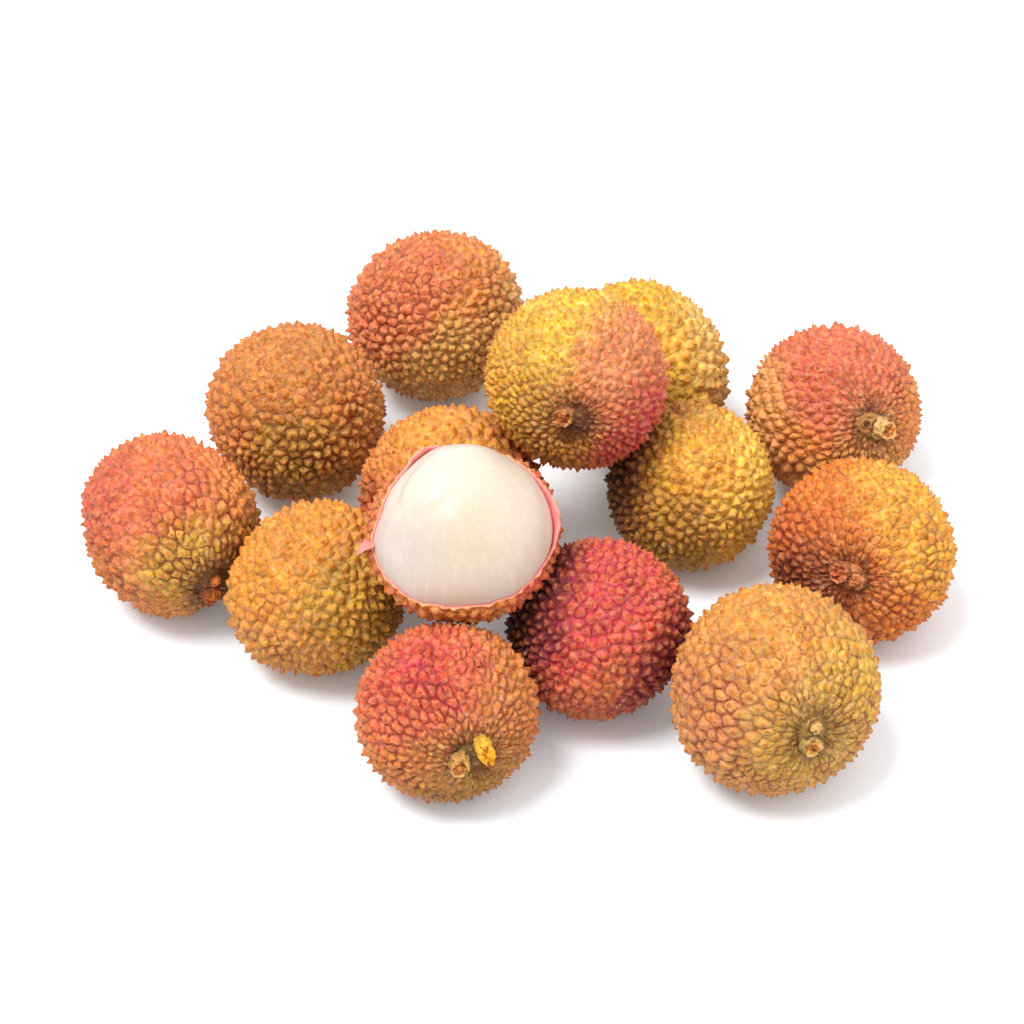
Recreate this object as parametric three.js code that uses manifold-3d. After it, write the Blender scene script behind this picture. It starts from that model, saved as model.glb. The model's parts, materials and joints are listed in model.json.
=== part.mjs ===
// A bunch of fourteen lychees lying in a low heap: twelve fruits on the surface, one whole
// fruit on top of them, and one half peeled, its white flesh sitting in a cup of its own peel.
// Millimetres, +Z up, resting on Z = 0, with the middle of the heap over the origin.

import * as THREE from 'three';
import { mergeVertices } from 'three/addons/utils/BufferGeometryUtils.js';
import Module from 'manifold-3d';

// Air left between pieces that touch.
const TOUCH_GAP = 0.35;
// Points of a mesh that lie closer together than this are one point.
const WELD_DISTANCE = 1e-4;

// A whole fruit: rings from the tip to the stem end, crowded towards the stem.
const FRUIT_SIDES = 20;
const FRUIT_RINGS = 12;
const RING_CROWDING = 1.3;
const STEM_PIT_DEPTH = 1.7;
const STEM_PIT_ANGLE = 0.34; // radians from the stem axis
const SHOULDER_FLATNESS = 0.05; // share of the radius that the stem end loses
const SHOULDER_LEAN = 0.04; // one shoulder stands a little higher than the other
const SIDE_SQUEEZE = 0.98; // a lychee is slightly narrower across its seam
const POLAR_STEP = 0.02; // radians between the places where the height under a collar is taken

// The stub of stalk left on a picked fruit, and the nub of the twin fruit that never grew,
// side by side on one collar. The stub leans away from the nub.
const STEM_SIDES = 10;
const COLLAR_SIDES = 14;
const STUB_RADIUS = 1.9;
const STUB_LENGTH = 2.6;
const STUB_LEAN = 1.0; // how far the stub's end stands to the side of its foot
const NUB_RADIUS = 1.3;
const NUB_LENGTH = 1.5;
const COLLAR_HEIGHT = 0.7;
const COLLAR_MARGIN = 1.15; // collar to stub, at the foot
const COLLAR_TOP = 0.9; // share of the foot's width

// The half-peeled fruit.
const ARIL_RADIUS = 16.45;
const ARIL_TOP = 0.99;
const ARIL_NARROWING = 0.03; // the flesh draws in towards its top
const PEEL_CLEARANCE = 0.5;
const PEEL_THICKNESS = 0.7;
const PEEL_BOTTOM = 0.95; // a little flatter from stem to tip than across
const PEEL_NARROWING = 0.055; // the peel draws in towards the tip
const RIM_HEIGHT = 3.4; // the torn edge's mean height above the widest place of the flesh
// The edge rises and falls once, twice and three times round the fruit: how much, and at which
// angle from its right side, in degrees, divided by the number of times, the first crest comes.
const RIM_WAVES = [[3.5, 117], [0.9, -125], [1.4, 92]];
// Torn notches in the edge: how deep, at which angle, and half how wide in degrees.
const RIM_NOTCHES = [[3.4, 76, 36], [1.8, -90, 42]];
const PEELED_SIDES = 26;
const PEELED_RINGS = 8;
const PEELED_AXIS = [-0.07, -0.21, 0.97];

const RED = 0xc4655a;
const ORANGE = 0xd0803f;
const GOLD = 0xd6a548;
const OCHRE = 0xb07a3c;
const STALK = 0x9a6a3a;
const FLESH = 0xf2e8da;

const PEEL_ROUGHNESS = 0.7;
const STALK_ROUGHNESS = 0.85;
const FLESH_ROUGHNESS = 0.3;

// Each whole fruit: where it lies, how wide and how long it is from stem to tip, which way its
// stem points, on which side of the stub its twin nub stands and how far off, and its colour.
// One that names others in "on" rests on them.
const FRUITS = [
  {
    id: '01', x: -65.2, y: -3.8, width: 33.6, length: 34.2, colour: RED,
    stem: [0.55, -0.82, -0.15], twin: [0.3, 0, 1], spacing: 3.2,
  },
  {
    id: '02', x: -42.2, y: 28.1, width: 34.2, length: 33.8, colour: OCHRE,
    stem: [-0.4, 0.9, 0], twin: [0, 0, 1], spacing: 3.2,
  },
  {
    id: '03', x: -15.7, y: 57.0, width: 34.4, length: 33.6, colour: RED,
    stem: [0.2, 0.95, -0.1], twin: [1, 0, 0], spacing: 3.2,
  },
  {
    id: '04', x: -36.3, y: -18.7, width: 32.4, length: 32.4, colour: GOLD,
    stem: [-0.1, 0.97, -0.2], twin: [1, 0, 0.5], spacing: 3.2,
  },
  {
    id: '05', x: -11.9, y: 4.8, width: 34.6, length: 34.4, colour: ORANGE,
    stem: [-0.2, 0.95, 0.1], twin: [0, 0, -1], spacing: 3.2,
  },
  {
    id: '06', x: 12.1, y: 12.2, width: 33.8, length: 34.6, colour: GOLD,
    stem: [-0.07, -0.97, 0.21], twin: [0.8, -0.4, -0.4], spacing: 3.2,
    on: ['05', '07', '08'],
  },
  {
    id: '07', x: 25.3, y: 40.3, width: 35.0, length: 35.0, colour: GOLD,
    stem: [0.3, 0.95, 0], twin: [-1, 0, 0.6], spacing: 3.2,
  },
  {
    id: '08', x: 34.2, y: 8.6, width: 31.8, length: 31.8, colour: GOLD,
    stem: [0.35, 0.93, -0.1], twin: [0, 0, 1], spacing: 3.2,
  },
  {
    id: '09', x: 63.1, y: 28.8, width: 33.8, length: 32.4, colour: RED,
    stem: [0.43, -0.77, 0.47], twin: [-0.9, 0.2, 0.2], spacing: 3.2,
  },
  {
    id: '10', x: 66.1, y: -10.2, width: 34.6, length: 33.8, colour: ORANGE,
    stem: [-0.24, -0.87, 0.43], twin: [0.9, -0.3, -0.3], spacing: 3.2,
  },
  {
    id: '11', x: 16.2, y: -30.0, width: 33.4, length: 33.4, colour: RED,
    stem: [0.3, 0.9, -0.3], twin: [1, 0, 0], spacing: 3.2,
  },
  {
    id: '12', x: -12.0, y: -50.7, width: 32.6, length: 32.0, colour: RED,
    stem: [0.33, -0.92, 0.2], twin: [0.95, 0.2, 0.2], spacing: 4.6,
  },
  {
    id: '13', x: 47.9, y: -48.0, width: 38.0, length: 37.4, colour: GOLD,
    stem: [0.34, -0.9, 0.27], twin: [0, 0.7, 0.7], spacing: 3.4,
  },
];
const PEELED = { x: -9.3, y: -24.6, on: ['04', '05', '11', '12'] };

const wasm = await Module();
wasm.setup();

const heap = new THREE.Group();

function finish(colour, roughness) {
  return new THREE.MeshStandardMaterial({ color: colour, roughness, metalness: 0 });
}

function addPiece(name, geometry, material) {
  const piece = new THREE.Mesh(geometry, material);
  piece.name = name;
  heap.add(piece);
  return piece;
}

// A profile of [radius, height] points turned round the Z axis, closed where it meets the axis.
function turned(points, sides) {
  const profile = points.map(([radius, height]) => new THREE.Vector2(radius, height));
  const geometry = new THREE.LatheGeometry(profile, sides);
  geometry.rotateX(Math.PI / 2);
  geometry.deleteAttribute('normal');
  geometry.deleteAttribute('uv');
  return mergeVertices(geometry, WELD_DISTANCE);
}

function toSolid(geometry) {
  const mesh = new wasm.Mesh({
    numProp: 3,
    vertProperties: new Float32Array(geometry.attributes.position.array),
    triVerts: new Uint32Array(geometry.index.array),
  });
  return new wasm.Manifold(mesh);
}

function toGeometry(solid) {
  const mesh = solid.getMesh();
  const geometry = new THREE.BufferGeometry();
  geometry.setAttribute('position', new THREE.BufferAttribute(mesh.vertProperties, 3));
  geometry.setIndex(new THREE.BufferAttribute(mesh.triVerts, 1));
  return geometry;
}

// The turn that brings a piece's own +Z onto an axis and its +X towards one side.
function facing(axisDirection, sideDirection) {
  const axis = new THREE.Vector3(...axisDirection).normalize();
  const across = new THREE.Vector3().crossVectors(axis, new THREE.Vector3(...sideDirection)).normalize();
  const side = new THREE.Vector3().crossVectors(across, axis);
  const turn = new THREE.Matrix4().makeBasis(side, across, axis);
  return { axis, turn: new THREE.Quaternion().setFromRotationMatrix(turn) };
}

// Distance from the middle of a fruit to its surface, at an angle from the stem axis.
function surfaceRadius(fruit, polar) {
  const across = Math.sin(polar) / (fruit.width / 2);
  const along = Math.cos(polar) / (fruit.length / 2);
  const round = 1 / Math.hypot(across, along);
  const flattened = round * (1 - SHOULDER_FLATNESS * Math.max(Math.cos(polar), 0) ** 3);
  return flattened - STEM_PIT_DEPTH * Math.exp(-((polar / STEM_PIT_ANGLE) ** 2));
}

// A whole fruit with its stem end up, centred on its own origin.
function wholeFruit(fruit) {
  const points = [];
  for (let ring = 0; ring <= FRUIT_RINGS; ring++) {
    const polar = Math.PI * (1 - ring / FRUIT_RINGS) ** RING_CROWDING;
    const radius = surfaceRadius(fruit, polar);
    const onAxis = ring === 0 || ring === FRUIT_RINGS;
    points.push([onAxis ? 0 : radius * Math.sin(polar), radius * Math.cos(polar)]);
  }
  const geometry = turned(points, FRUIT_SIDES);
  const place = geometry.attributes.position;
  for (let i = 0; i < place.count; i++) {
    const lift = SHOULDER_LEAN * place.getX(i) * Math.max(place.getZ(i), 0) / (fruit.length / 2);
    place.setY(i, place.getY(i) * SIDE_SQUEEZE);
    place.setZ(i, place.getZ(i) + lift);
  }
  return geometry;
}

// A knobbly stub: a flared foot, a waist and a rough rounded end, leaning sideways as it rises.
function stub(radius, length, lean) {
  const points = [
    [0, 0],
    [radius * 1.1, 0],
    [radius * 1.15, length * 0.12],
    [radius * 0.85, length * 0.4],
    [radius, length * 0.75],
    [radius * 0.85, length * 0.97],
    [0, length],
  ];
  const geometry = turned(points, STEM_SIDES);
  const place = geometry.attributes.position;
  for (let i = 0; i < place.count; i++) {
    place.setX(i, place.getX(i) + lean * (place.getZ(i) / length) ** 2);
  }
  return geometry;
}

// Stub, nub and the oval collar under them, as one solid, with the nub on the +X side.
function stemPair(spacing) {
  const stalk = stub(STUB_RADIUS, STUB_LENGTH, -STUB_LEAN);
  stalk.translate(-spacing / 2, 0, 0);
  const nub = stub(NUB_RADIUS, NUB_LENGTH, 0);
  nub.translate(spacing / 2, 0, 0);
  const wide = collarReach(spacing);
  const narrow = STUB_RADIUS * COLLAR_MARGIN;
  const outline = [[0, 0], [1, 0], [COLLAR_TOP, COLLAR_HEIGHT], [0, COLLAR_HEIGHT]];
  const collar = turned(outline, COLLAR_SIDES);
  collar.scale(wide, narrow, 1);
  return toGeometry(toSolid(collar).add(toSolid(stalk)).add(toSolid(nub)));
}

function collarReach(spacing) {
  return spacing / 2 + STUB_RADIUS * COLLAR_MARGIN;
}

// The highest that the fruit stands within a short way of its stem axis.
function footHeight(fruit, reach) {
  let highest = 0;
  for (let polar = 0; polar * fruit.length / 2 < reach; polar += POLAR_STEP) {
    highest = Math.max(highest, surfaceRadius(fruit, polar) * Math.cos(polar));
  }
  return highest + SHOULDER_LEAN * reach;
}

// How high a ball sits when it is lowered onto other balls from above.
function restingHeight(x, y, radius, supports) {
  const heights = supports.map((support) => {
    const reach = radius + support.radius + TOUCH_GAP;
    const aside = Math.hypot(x - support.centre.x, y - support.centre.y);
    return support.centre.z + Math.sqrt(Math.max(reach ** 2 - aside ** 2, 0));
  });
  return Math.max(...heights);
}

const balls = {};

function addFruit(fruit) {
  const { axis, turn } = facing(fruit.stem, fruit.twin);
  const radius = fruit.width * (1 + SIDE_SQUEEZE) / 4;
  const peel = finish(fruit.colour, PEEL_ROUGHNESS);
  const piece = addPiece(`lychee_${fruit.id}`, wholeFruit(fruit), peel);
  piece.quaternion.copy(turn);
  piece.position.set(fruit.x, fruit.y, 0);
  if (fruit.on) {
    const supports = fruit.on.map((id) => balls[id]);
    piece.position.z = restingHeight(fruit.x, fruit.y, radius, supports);
  } else {
    piece.position.z = -new THREE.Box3().setFromObject(piece, true).min.z;
  }
  balls[fruit.id] = { centre: piece.position, radius };

  const stalk = finish(STALK, STALK_ROUGHNESS);
  const stem = addPiece(`stem_${fruit.id}`, stemPair(fruit.spacing), stalk);
  const foot = footHeight(fruit, collarReach(fruit.spacing)) + TOUCH_GAP;
  stem.quaternion.copy(turn);
  stem.position.copy(piece.position).addScaledVector(axis, foot);
}

// A point on the profile of the half-peeled fruit, or of a shell round it, at a latitude in
// radians: -PI / 2 is the tip, 0 the widest place and PI / 2 the peeled stem end.
function peeledPoint(radius, latitude) {
  const flatness = latitude > 0 ? ARIL_TOP : PEEL_BOTTOM;
  const narrowing = latitude > 0 ? ARIL_NARROWING : PEEL_NARROWING;
  const drawnIn = radius * (1 - narrowing * Math.sin(2 * latitude) ** 2);
  return [drawnIn * Math.cos(latitude), drawnIn * flatness * Math.sin(latitude)];
}

function aril() {
  const points = [];
  for (let ring = 0; ring <= 2 * PEELED_RINGS; ring++) {
    const [across, height] = peeledPoint(ARIL_RADIUS, Math.PI * (ring / (2 * PEELED_RINGS) - 0.5));
    const onAxis = ring === 0 || ring === 2 * PEELED_RINGS;
    points.push([onAxis ? 0 : across, height]);
  }
  return turned(points, PEELED_SIDES);
}

// How far above the widest place the torn edge of the peel runs, on one side of the fruit.
function rimHeight(azimuth) {
  const wavy = RIM_WAVES.reduce((height, [size, crest], wave) => {
    const turn = (wave + 1) * azimuth - THREE.MathUtils.degToRad(crest);
    return height + size * Math.cos(turn);
  }, RIM_HEIGHT);
  return RIM_NOTCHES.reduce((height, [depth, middle, width]) => {
    const off = THREE.MathUtils.radToDeg(azimuth) - middle;
    const turned = ((off + 540) % 360) - 180;
    return height - depth * Math.exp(-((turned / width) ** 4));
  }, wavy);
}

// The peel is a flat disc bent into a cup. A point's distance from the disc's middle becomes its
// way up from the tip to the torn edge, and its height its place in the thickness of the peel.
function peelCup(innerRadius) {
  const rings = [...Array(PEELED_RINGS + 1).keys()].map((ring) => ring / PEELED_RINGS);
  const underside = rings.map((share) => [share, 0]);
  const topSide = rings.map((share) => [1 - share, 1]);
  const cup = turned([...underside, ...topSide], PEELED_SIDES);
  const place = cup.attributes.position;
  for (let i = 0; i < place.count; i++) {
    const azimuth = Math.atan2(place.getY(i), place.getX(i));
    const share = Math.hypot(place.getX(i), place.getY(i));
    const radius = innerRadius + PEEL_THICKNESS * (1 - place.getZ(i));
    const rim = Math.asin(rimHeight(azimuth) / radius);
    const latitude = share * (Math.PI / 2 + rim) - Math.PI / 2;
    const [across, height] = peeledPoint(radius, latitude);
    place.setXYZ(i, across * Math.cos(azimuth), across * Math.sin(azimuth), height);
  }
  return cup;
}

// Flesh and peel share one centre and one axis, which leans towards the front.
function addPeeledFruit() {
  const innerRadius = ARIL_RADIUS + PEEL_CLEARANCE;
  const outerRadius = innerRadius + PEEL_THICKNESS;
  const underside = outerRadius * (1 - PEEL_NARROWING) * (1 + PEEL_BOTTOM) / 2;
  const supports = PEELED.on.map((id) => balls[id]);
  const height = restingHeight(PEELED.x, PEELED.y, underside, supports);
  const { turn } = facing(PEELED_AXIS, [1, 0, 0]);
  for (const piece of [
    addPiece('aril', aril(), finish(FLESH, FLESH_ROUGHNESS)),
    addPiece('peel_cup', peelCup(innerRadius), finish(ORANGE, PEEL_ROUGHNESS)),
  ]) {
    piece.quaternion.copy(turn);
    piece.position.set(PEELED.x, PEELED.y, height);
  }
}

// The fruits on the surface come first, because those on top rest on them.
FRUITS.filter((fruit) => !fruit.on).forEach(addFruit);
FRUITS.filter((fruit) => fruit.on).forEach(addFruit);
addPeeledFruit();

const extent = new THREE.Box3().setFromObject(heap, true);
const middle = extent.getCenter(new THREE.Vector3());
heap.position.set(-middle.x, -middle.y, -extent.min.z);

const group = new THREE.Group();
group.add(heap);

export default group;
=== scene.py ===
# %% [markdown]
# # A bunch of lychees
#
# Fourteen fresh lychees lie in a low heap. Twelve lie on the surface, one rests on its neighbours,
# and one has been half peeled and shows its white flesh. The model's plain solids say where each
# fruit lies, how wide it is and which way its stem points. This lesson gives them their pimpled
# peel, their cut stems, the moist flesh and the torn cup of peel.

# %% The frame that everything is built round
import json
import math

import bmesh
import bpy
import numpy as np
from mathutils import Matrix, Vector, noise

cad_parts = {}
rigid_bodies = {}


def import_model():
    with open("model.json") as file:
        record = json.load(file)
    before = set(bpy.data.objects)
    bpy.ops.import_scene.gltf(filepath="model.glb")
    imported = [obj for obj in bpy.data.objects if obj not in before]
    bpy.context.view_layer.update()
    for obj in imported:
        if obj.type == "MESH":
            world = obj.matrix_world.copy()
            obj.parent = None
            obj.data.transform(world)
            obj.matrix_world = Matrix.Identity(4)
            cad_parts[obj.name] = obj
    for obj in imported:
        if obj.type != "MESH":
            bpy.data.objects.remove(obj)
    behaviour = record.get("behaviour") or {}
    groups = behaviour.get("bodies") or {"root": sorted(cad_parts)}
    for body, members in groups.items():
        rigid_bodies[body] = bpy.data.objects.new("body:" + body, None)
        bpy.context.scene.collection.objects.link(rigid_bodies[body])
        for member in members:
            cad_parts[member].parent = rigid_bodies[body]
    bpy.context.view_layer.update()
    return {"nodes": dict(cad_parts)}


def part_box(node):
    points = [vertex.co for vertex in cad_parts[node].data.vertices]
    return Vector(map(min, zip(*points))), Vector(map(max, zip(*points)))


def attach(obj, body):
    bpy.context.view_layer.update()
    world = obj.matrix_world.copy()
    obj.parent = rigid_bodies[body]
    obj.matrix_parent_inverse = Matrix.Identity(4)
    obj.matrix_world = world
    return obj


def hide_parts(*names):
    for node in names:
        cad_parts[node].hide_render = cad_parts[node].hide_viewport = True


for leftover in list(bpy.data.objects):
    bpy.data.objects.remove(leftover)
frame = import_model()
MM = 0.001
WHOLE_FRUITS = [f"{number:02d}" for number in range(1, 14)]

# %% [markdown]
# ## Where the viewer stands
#
# The camera looks down on the heap from the front. It comes first, because the colours of a fruit
# are easiest to name by how one sees it: the blush is on its upper left, the stem faces us.
# `seen` turns such a direction (right, up, towards us) into one in the heap's own axes.

# %% Camera
VIEW_HEIGHT = math.radians(44.5)
VIEW_DISTANCE = 760 * MM
VIEW_TARGET = Vector((-0.8, -3.3, 17)) * MM
LENS = 139.9

towards_viewer = Vector((0, -math.cos(VIEW_HEIGHT), math.sin(VIEW_HEIGHT)))
upwards = Vector((0, math.sin(VIEW_HEIGHT), math.cos(VIEW_HEIGHT)))


def seen(right, up, near):
    """The direction in the heap's axes that looks like this from the camera."""
    return (Vector((right, 0, 0)) + up * upwards + near * towards_viewer).normalized()


def new_object(name, data):
    thing = bpy.data.objects.new(name, data)
    bpy.context.scene.collection.objects.link(thing)
    return thing


camera = new_object("camera", bpy.data.cameras.new("camera"))
camera.data.lens = LENS
camera.data.sensor_width = 36
camera.data.clip_start = 0.01
camera.location = VIEW_TARGET + VIEW_DISTANCE * towards_viewer
camera.rotation_mode = "QUATERNION"
camera.rotation_quaternion = (-towards_viewer).to_track_quat("-Z", "Y")
bpy.context.scene.camera = camera
print("camera at", [round(c / MM) for c in camera.location], "mm")

# %% [markdown]
# ## Reading a fruit's own frame from its solid
#
# A fruit's pimples, pit and stem all follow its own axis, from the tip to the stem. The solid is
# turned from a profile, so a fan of triangles meets at each of its two ends: those two points are
# the axis. The stub of the stalk and the nub beside it then say which side is which.

# %% Two ends of the axis
FAN_TRIANGLES = 16


def solid_points(node):
    """The different points of a solid in millimetres, and how many triangles meet at each."""
    mesh = frame["nodes"][node].data
    places = np.array([vertex.co for vertex in mesh.vertices]) / MM
    mesh.calc_loop_triangles()
    triangles = np.array([triangle.vertices for triangle in mesh.loop_triangles])
    points, which = np.unique(np.round(places, 3) + 0.0, axis=0, return_inverse=True)
    meeting = np.bincount(which.ravel()[triangles].ravel(), minlength=len(points))
    return points, meeting


def axis_ends(node):
    """The two points of a turned solid that lie on its axis."""
    points, meeting = solid_points(node)
    ends = points[np.argsort(meeting)[-2:]]
    assert np.sort(meeting)[-2] >= FAN_TRIANGLES, node
    return ends


def box_middle(node):
    low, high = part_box(node)
    return np.array((low + high) / 2) / MM


print("lychee_01 runs from", *[np.round(end, 1) for end in axis_ends("lychee_01")])

# %% A frame for each fruit
# The plain solids were turned with these: millimetres, radians and shares of a length.
PIT_DEPTH = 1.7
PIT_ANGLE = 0.34
SHOULDER_FLATNESS = 0.05
SHOULDER_LEAN = 0.04
SIDE_SQUEEZE = 0.98
COLLAR_OVER_STUB = 2.09


def unit(vectors):
    return vectors / np.linalg.norm(vectors, axis=-1, keepdims=True)


def whole_fruit_frame(number):
    """Centre, axes (rows: across to the nub, sideways, to the stem) and sizes of a whole fruit."""
    fruit, stem = f"lychee_{number}", f"stem_{number}"
    ends = axis_ends(fruit)
    towards_stem = np.linalg.norm(ends - box_middle(stem), axis=1)
    pit, tip = ends[np.argsort(towards_stem)]
    axis = unit(pit - tip)
    length = (np.linalg.norm(pit - tip) + PIT_DEPTH) / (1 - SHOULDER_FLATNESS / 2)
    centre = tip + axis * length / 2
    around = solid_points(fruit)[0] - centre
    aside = around - np.outer(around @ axis, axis)
    width = 2 * np.linalg.norm(aside, axis=1).max()

    stem_points = solid_points(stem)[0] - centre
    heights = stem_points @ axis
    stub_end = stem_points[heights.argmax()]
    to_nub = -unit(stub_end - (stub_end @ axis) * axis)
    reach = (stem_points @ to_nub).max()
    return {
        "centre": centre,
        "axes": np.array([to_nub, np.cross(axis, to_nub), axis]),
        "width": width,
        "length": length,
        "foot": heights.min(),
        "spacing": 2 * (reach - COLLAR_OVER_STUB),
    }


fruits = {number: whole_fruit_frame(number) for number in WHOLE_FRUITS}

# %% [markdown]
# ## A ball of even triangles
#
# Pimples cover the whole fruit alike, so its mesh should be as fine at the poles as at the waist.
# A ball from rings and meridians crowds at the poles. Here each face of an icosahedron is cut
# into rows of small triangles instead, which come out nearly the same size everywhere.

# %% Even ball
def even_ball(rows):
    """Unit directions and outward triangles, with `rows` steps along each icosahedron edge."""
    bm = bmesh.new()
    bmesh.ops.create_icosphere(bm, subdivisions=1, radius=1.0)
    corners = np.array([vertex.co for vertex in bm.verts])
    faces = [[vertex.index for vertex in face.verts] for face in bm.faces]
    bm.free()
    span = math.acos(np.clip(corners[faces[0][0]] @ corners[faces[0][1]], -1, 1))
    places = [(i, j) for i in range(rows + 1) for j in range(rows + 1 - i)]
    number = {place: index for index, place in enumerate(places)}
    weights = np.array([(rows - i - j, i, j) for i, j in places]) / rows
    small = []
    for i in range(rows):
        for j in range(rows - i):
            small.append((number[i, j], number[i + 1, j], number[i, j + 1]))
            if i + j < rows - 1:
                small.append((number[i + 1, j], number[i + 1, j + 1], number[i, j + 1]))
    small = np.array(small)
    points = np.concatenate([unit(np.sin(weights * span) @ corners[face]) for face in faces])
    triangles = np.concatenate([small + face * len(places) for face in range(len(faces))])
    keys = np.round(points, 6) + 0.0
    _, first, which = np.unique(keys, axis=0, return_index=True, return_inverse=True)
    return points[first], which.ravel()[triangles]


FRUIT_ROWS = 54
ball, ball_triangles = even_ball(FRUIT_ROWS)
print(f"even ball: {len(ball)} points, {len(ball_triangles)} triangles")


def outward_normals(points, triangles):
    corner = [points[triangles[:, k]] for k in range(3)]
    face_normals = np.cross(corner[1] - corner[0], corner[2] - corner[0])
    normals = np.zeros_like(points)
    for k in range(3):
        np.add.at(normals, triangles[:, k], face_normals)
    return unit(normals)


def make_piece(name, points, triangles, materials, stands_for, middle, marks=None, face_kind=None):
    """A piece from points in millimetres round `middle`, with its marks stored on its points."""
    mesh = bpy.data.meshes.new(name)
    mesh.from_pydata(points * MM, [], triangles.tolist())
    mesh.shade_smooth()
    for mark, values in (marks or {}).items():
        layer = mesh.attributes.new(mark, "FLOAT", "POINT")
        layer.data.foreach_set("value", np.ascontiguousarray(values, dtype=np.float32))
    for material in materials:
        mesh.materials.append(material)
    if face_kind is not None:
        mesh.polygons.foreach_set("material_index", np.asarray(face_kind, dtype=np.int32))
    piece = new_object(name, mesh)
    piece.location = Vector(middle) * MM
    bpy.context.view_layer.update()
    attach(piece, "root")
    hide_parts(stands_for)
    return piece


# %% [markdown]
# ## Pimples
#
# Lychee peel is paved with many hundred small pyramids that meet in thin grooves. Each paving
# stone is the part of the skin that lies nearest to one seed point, and its height can be read
# off two distances: to the nearest seed and to the next nearest. Where they are equal there is a
# groove, and at the seed there is a tip. Seeds are thrown at random, but never too close
# together, and then settle a little towards the middle of their own stone, as growing pimples
# do. Near the stem the stones are small and drawn out towards it, so the skin is stretched there
# before the distances are taken. Last, the points of the mesh that lie next to a tip or a groove
# are drawn onto it, which makes both crisp without a finer mesh.

# %% Skin stretched near the stem
STEM_CROWDING = 0.32
STEM_CROWDING_FROM = 0.08
STEM_CROWDING_UNTIL = (0.25, 2.4)


def smooth(values, low, high):
    share = np.clip((values - low) / (high - low), 0, 1)
    return share * share * (3 - 2 * share)


def slow_waves(directions, rng, count=5, pace=2.6):
    """A smooth random field, mostly between -1 and 1, over the fruit."""
    field = np.zeros(len(directions))
    for _ in range(count):
        field += np.sin(directions @ rng.normal(scale=pace, size=3) + rng.uniform(0, 2 * math.pi))
    return field / math.sqrt(count)


def stretched_near_stem(directions, crowding):
    """The directions moved away from the stem, and how much wider they lie apart there."""
    polar = np.arccos(np.clip(directions[:, 2], -1, 1))
    beyond_collar = 1 - np.exp(-((polar / STEM_CROWDING_FROM) ** 2))
    moved = polar + crowding * beyond_collar * (1 - smooth(polar, *STEM_CROWDING_UNTIL))
    wider = np.sin(moved) / np.maximum(np.sin(polar), 1e-6)
    return np.column_stack([directions[:, :2] * wider[:, None], np.cos(moved)]), wider


by_the_pit = np.array([[math.sin(PIT_ANGLE), 0.0, math.cos(PIT_ANGLE)]])
stretch = stretched_near_stem(by_the_pit, STEM_CROWDING)[1]
print("skin by the pit is stretched", *stretch.round(1), "times")


# %% Seeds
SEED_TRIES = 9000
PACKING = 10.0  # how many seeds find room, for each square of ball radius over least distance
ROOM_UNEVENNESS, ROOM_SPREAD = 0.12, (0.72, 1.2)


def scattered_seeds(rng, count):
    """About `count` directions with room round each, more room on some sides than on others."""
    thrown = unit(rng.normal(size=(SEED_TRIES, 3)))
    room = math.sqrt(PACKING / count) * (1 + ROOM_UNEVENNESS * slow_waves(thrown, rng))
    too_close = np.cos(room * rng.uniform(*ROOM_SPREAD, SEED_TRIES))
    kept = np.empty((SEED_TRIES, 3))
    number = 0
    for direction, cosine in zip(thrown, too_close):
        if number == 0 or (kept[:number] @ direction).max() < cosine:
            kept[number] = direction
            number += 1
    return kept[:number]


def settled_seeds(seeds, directions):
    """The seeds moved towards the middle of their own stones."""
    nearest = (directions @ seeds.T).argmax(axis=1)
    middles = seeds * 1e-6
    np.add.at(middles, nearest, directions)
    return unit(seeds + unit(middles))


def two_nearest(directions, seeds):
    """Number of the nearest seed and of the next nearest, and the angles to both."""
    cosine = directions.astype(np.float32) @ seeds.T.astype(np.float32)
    every = np.arange(len(directions))
    nearest = cosine.argmax(axis=1)
    to_nearest = np.arccos(np.clip(cosine[every, nearest], -1, 1))
    cosine[every, nearest] = -2
    following = cosine.argmax(axis=1)
    to_next = np.arccos(np.clip(cosine[every, following], -1, 1))
    return nearest, following, to_nearest, to_next


print(len(scattered_seeds(np.random.default_rng(1), 900)), "seeds for 900 asked for")


# %% Paving stones
MESH_STEP = 1.15 / FRUIT_ROWS  # the angle between neighbouring points of the even ball
WOBBLE = 0.011
WOBBLE_PACE = 24


def drawn_to_stones(directions, moved, wider, seeds):
    """The directions with those next to a tip or a groove moved onto it."""
    nearest, following, to_nearest, to_next = two_nearest(moved, seeds)
    shift = np.zeros_like(directions)
    by_groove = to_next - to_nearest < MESH_STEP
    between = unit(seeds[nearest] - seeds[following])
    off_groove = (moved * between).sum(axis=1, keepdims=True) * between
    shift[by_groove] = -off_groove[by_groove]
    closest = np.lexsort((to_nearest, nearest))
    tips = closest[np.unique(nearest[closest], return_index=True)[1]]
    shift[tips] = seeds[nearest[tips]] - moved[tips]
    shift /= np.maximum(wider, 1)[:, None]
    for _ in range(3):  # points of a triangle that would turn over or grow thin are drawn less
        drawn = unit(directions + shift)
        a, b, c = drawn[ball_triangles.T]
        facing = (np.cross(b - a, c - a) * a).sum(axis=1)
        shift[ball_triangles[facing < 0.25 * np.median(facing)].ravel()] *= 0.4
    return unit(directions + shift)


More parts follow.
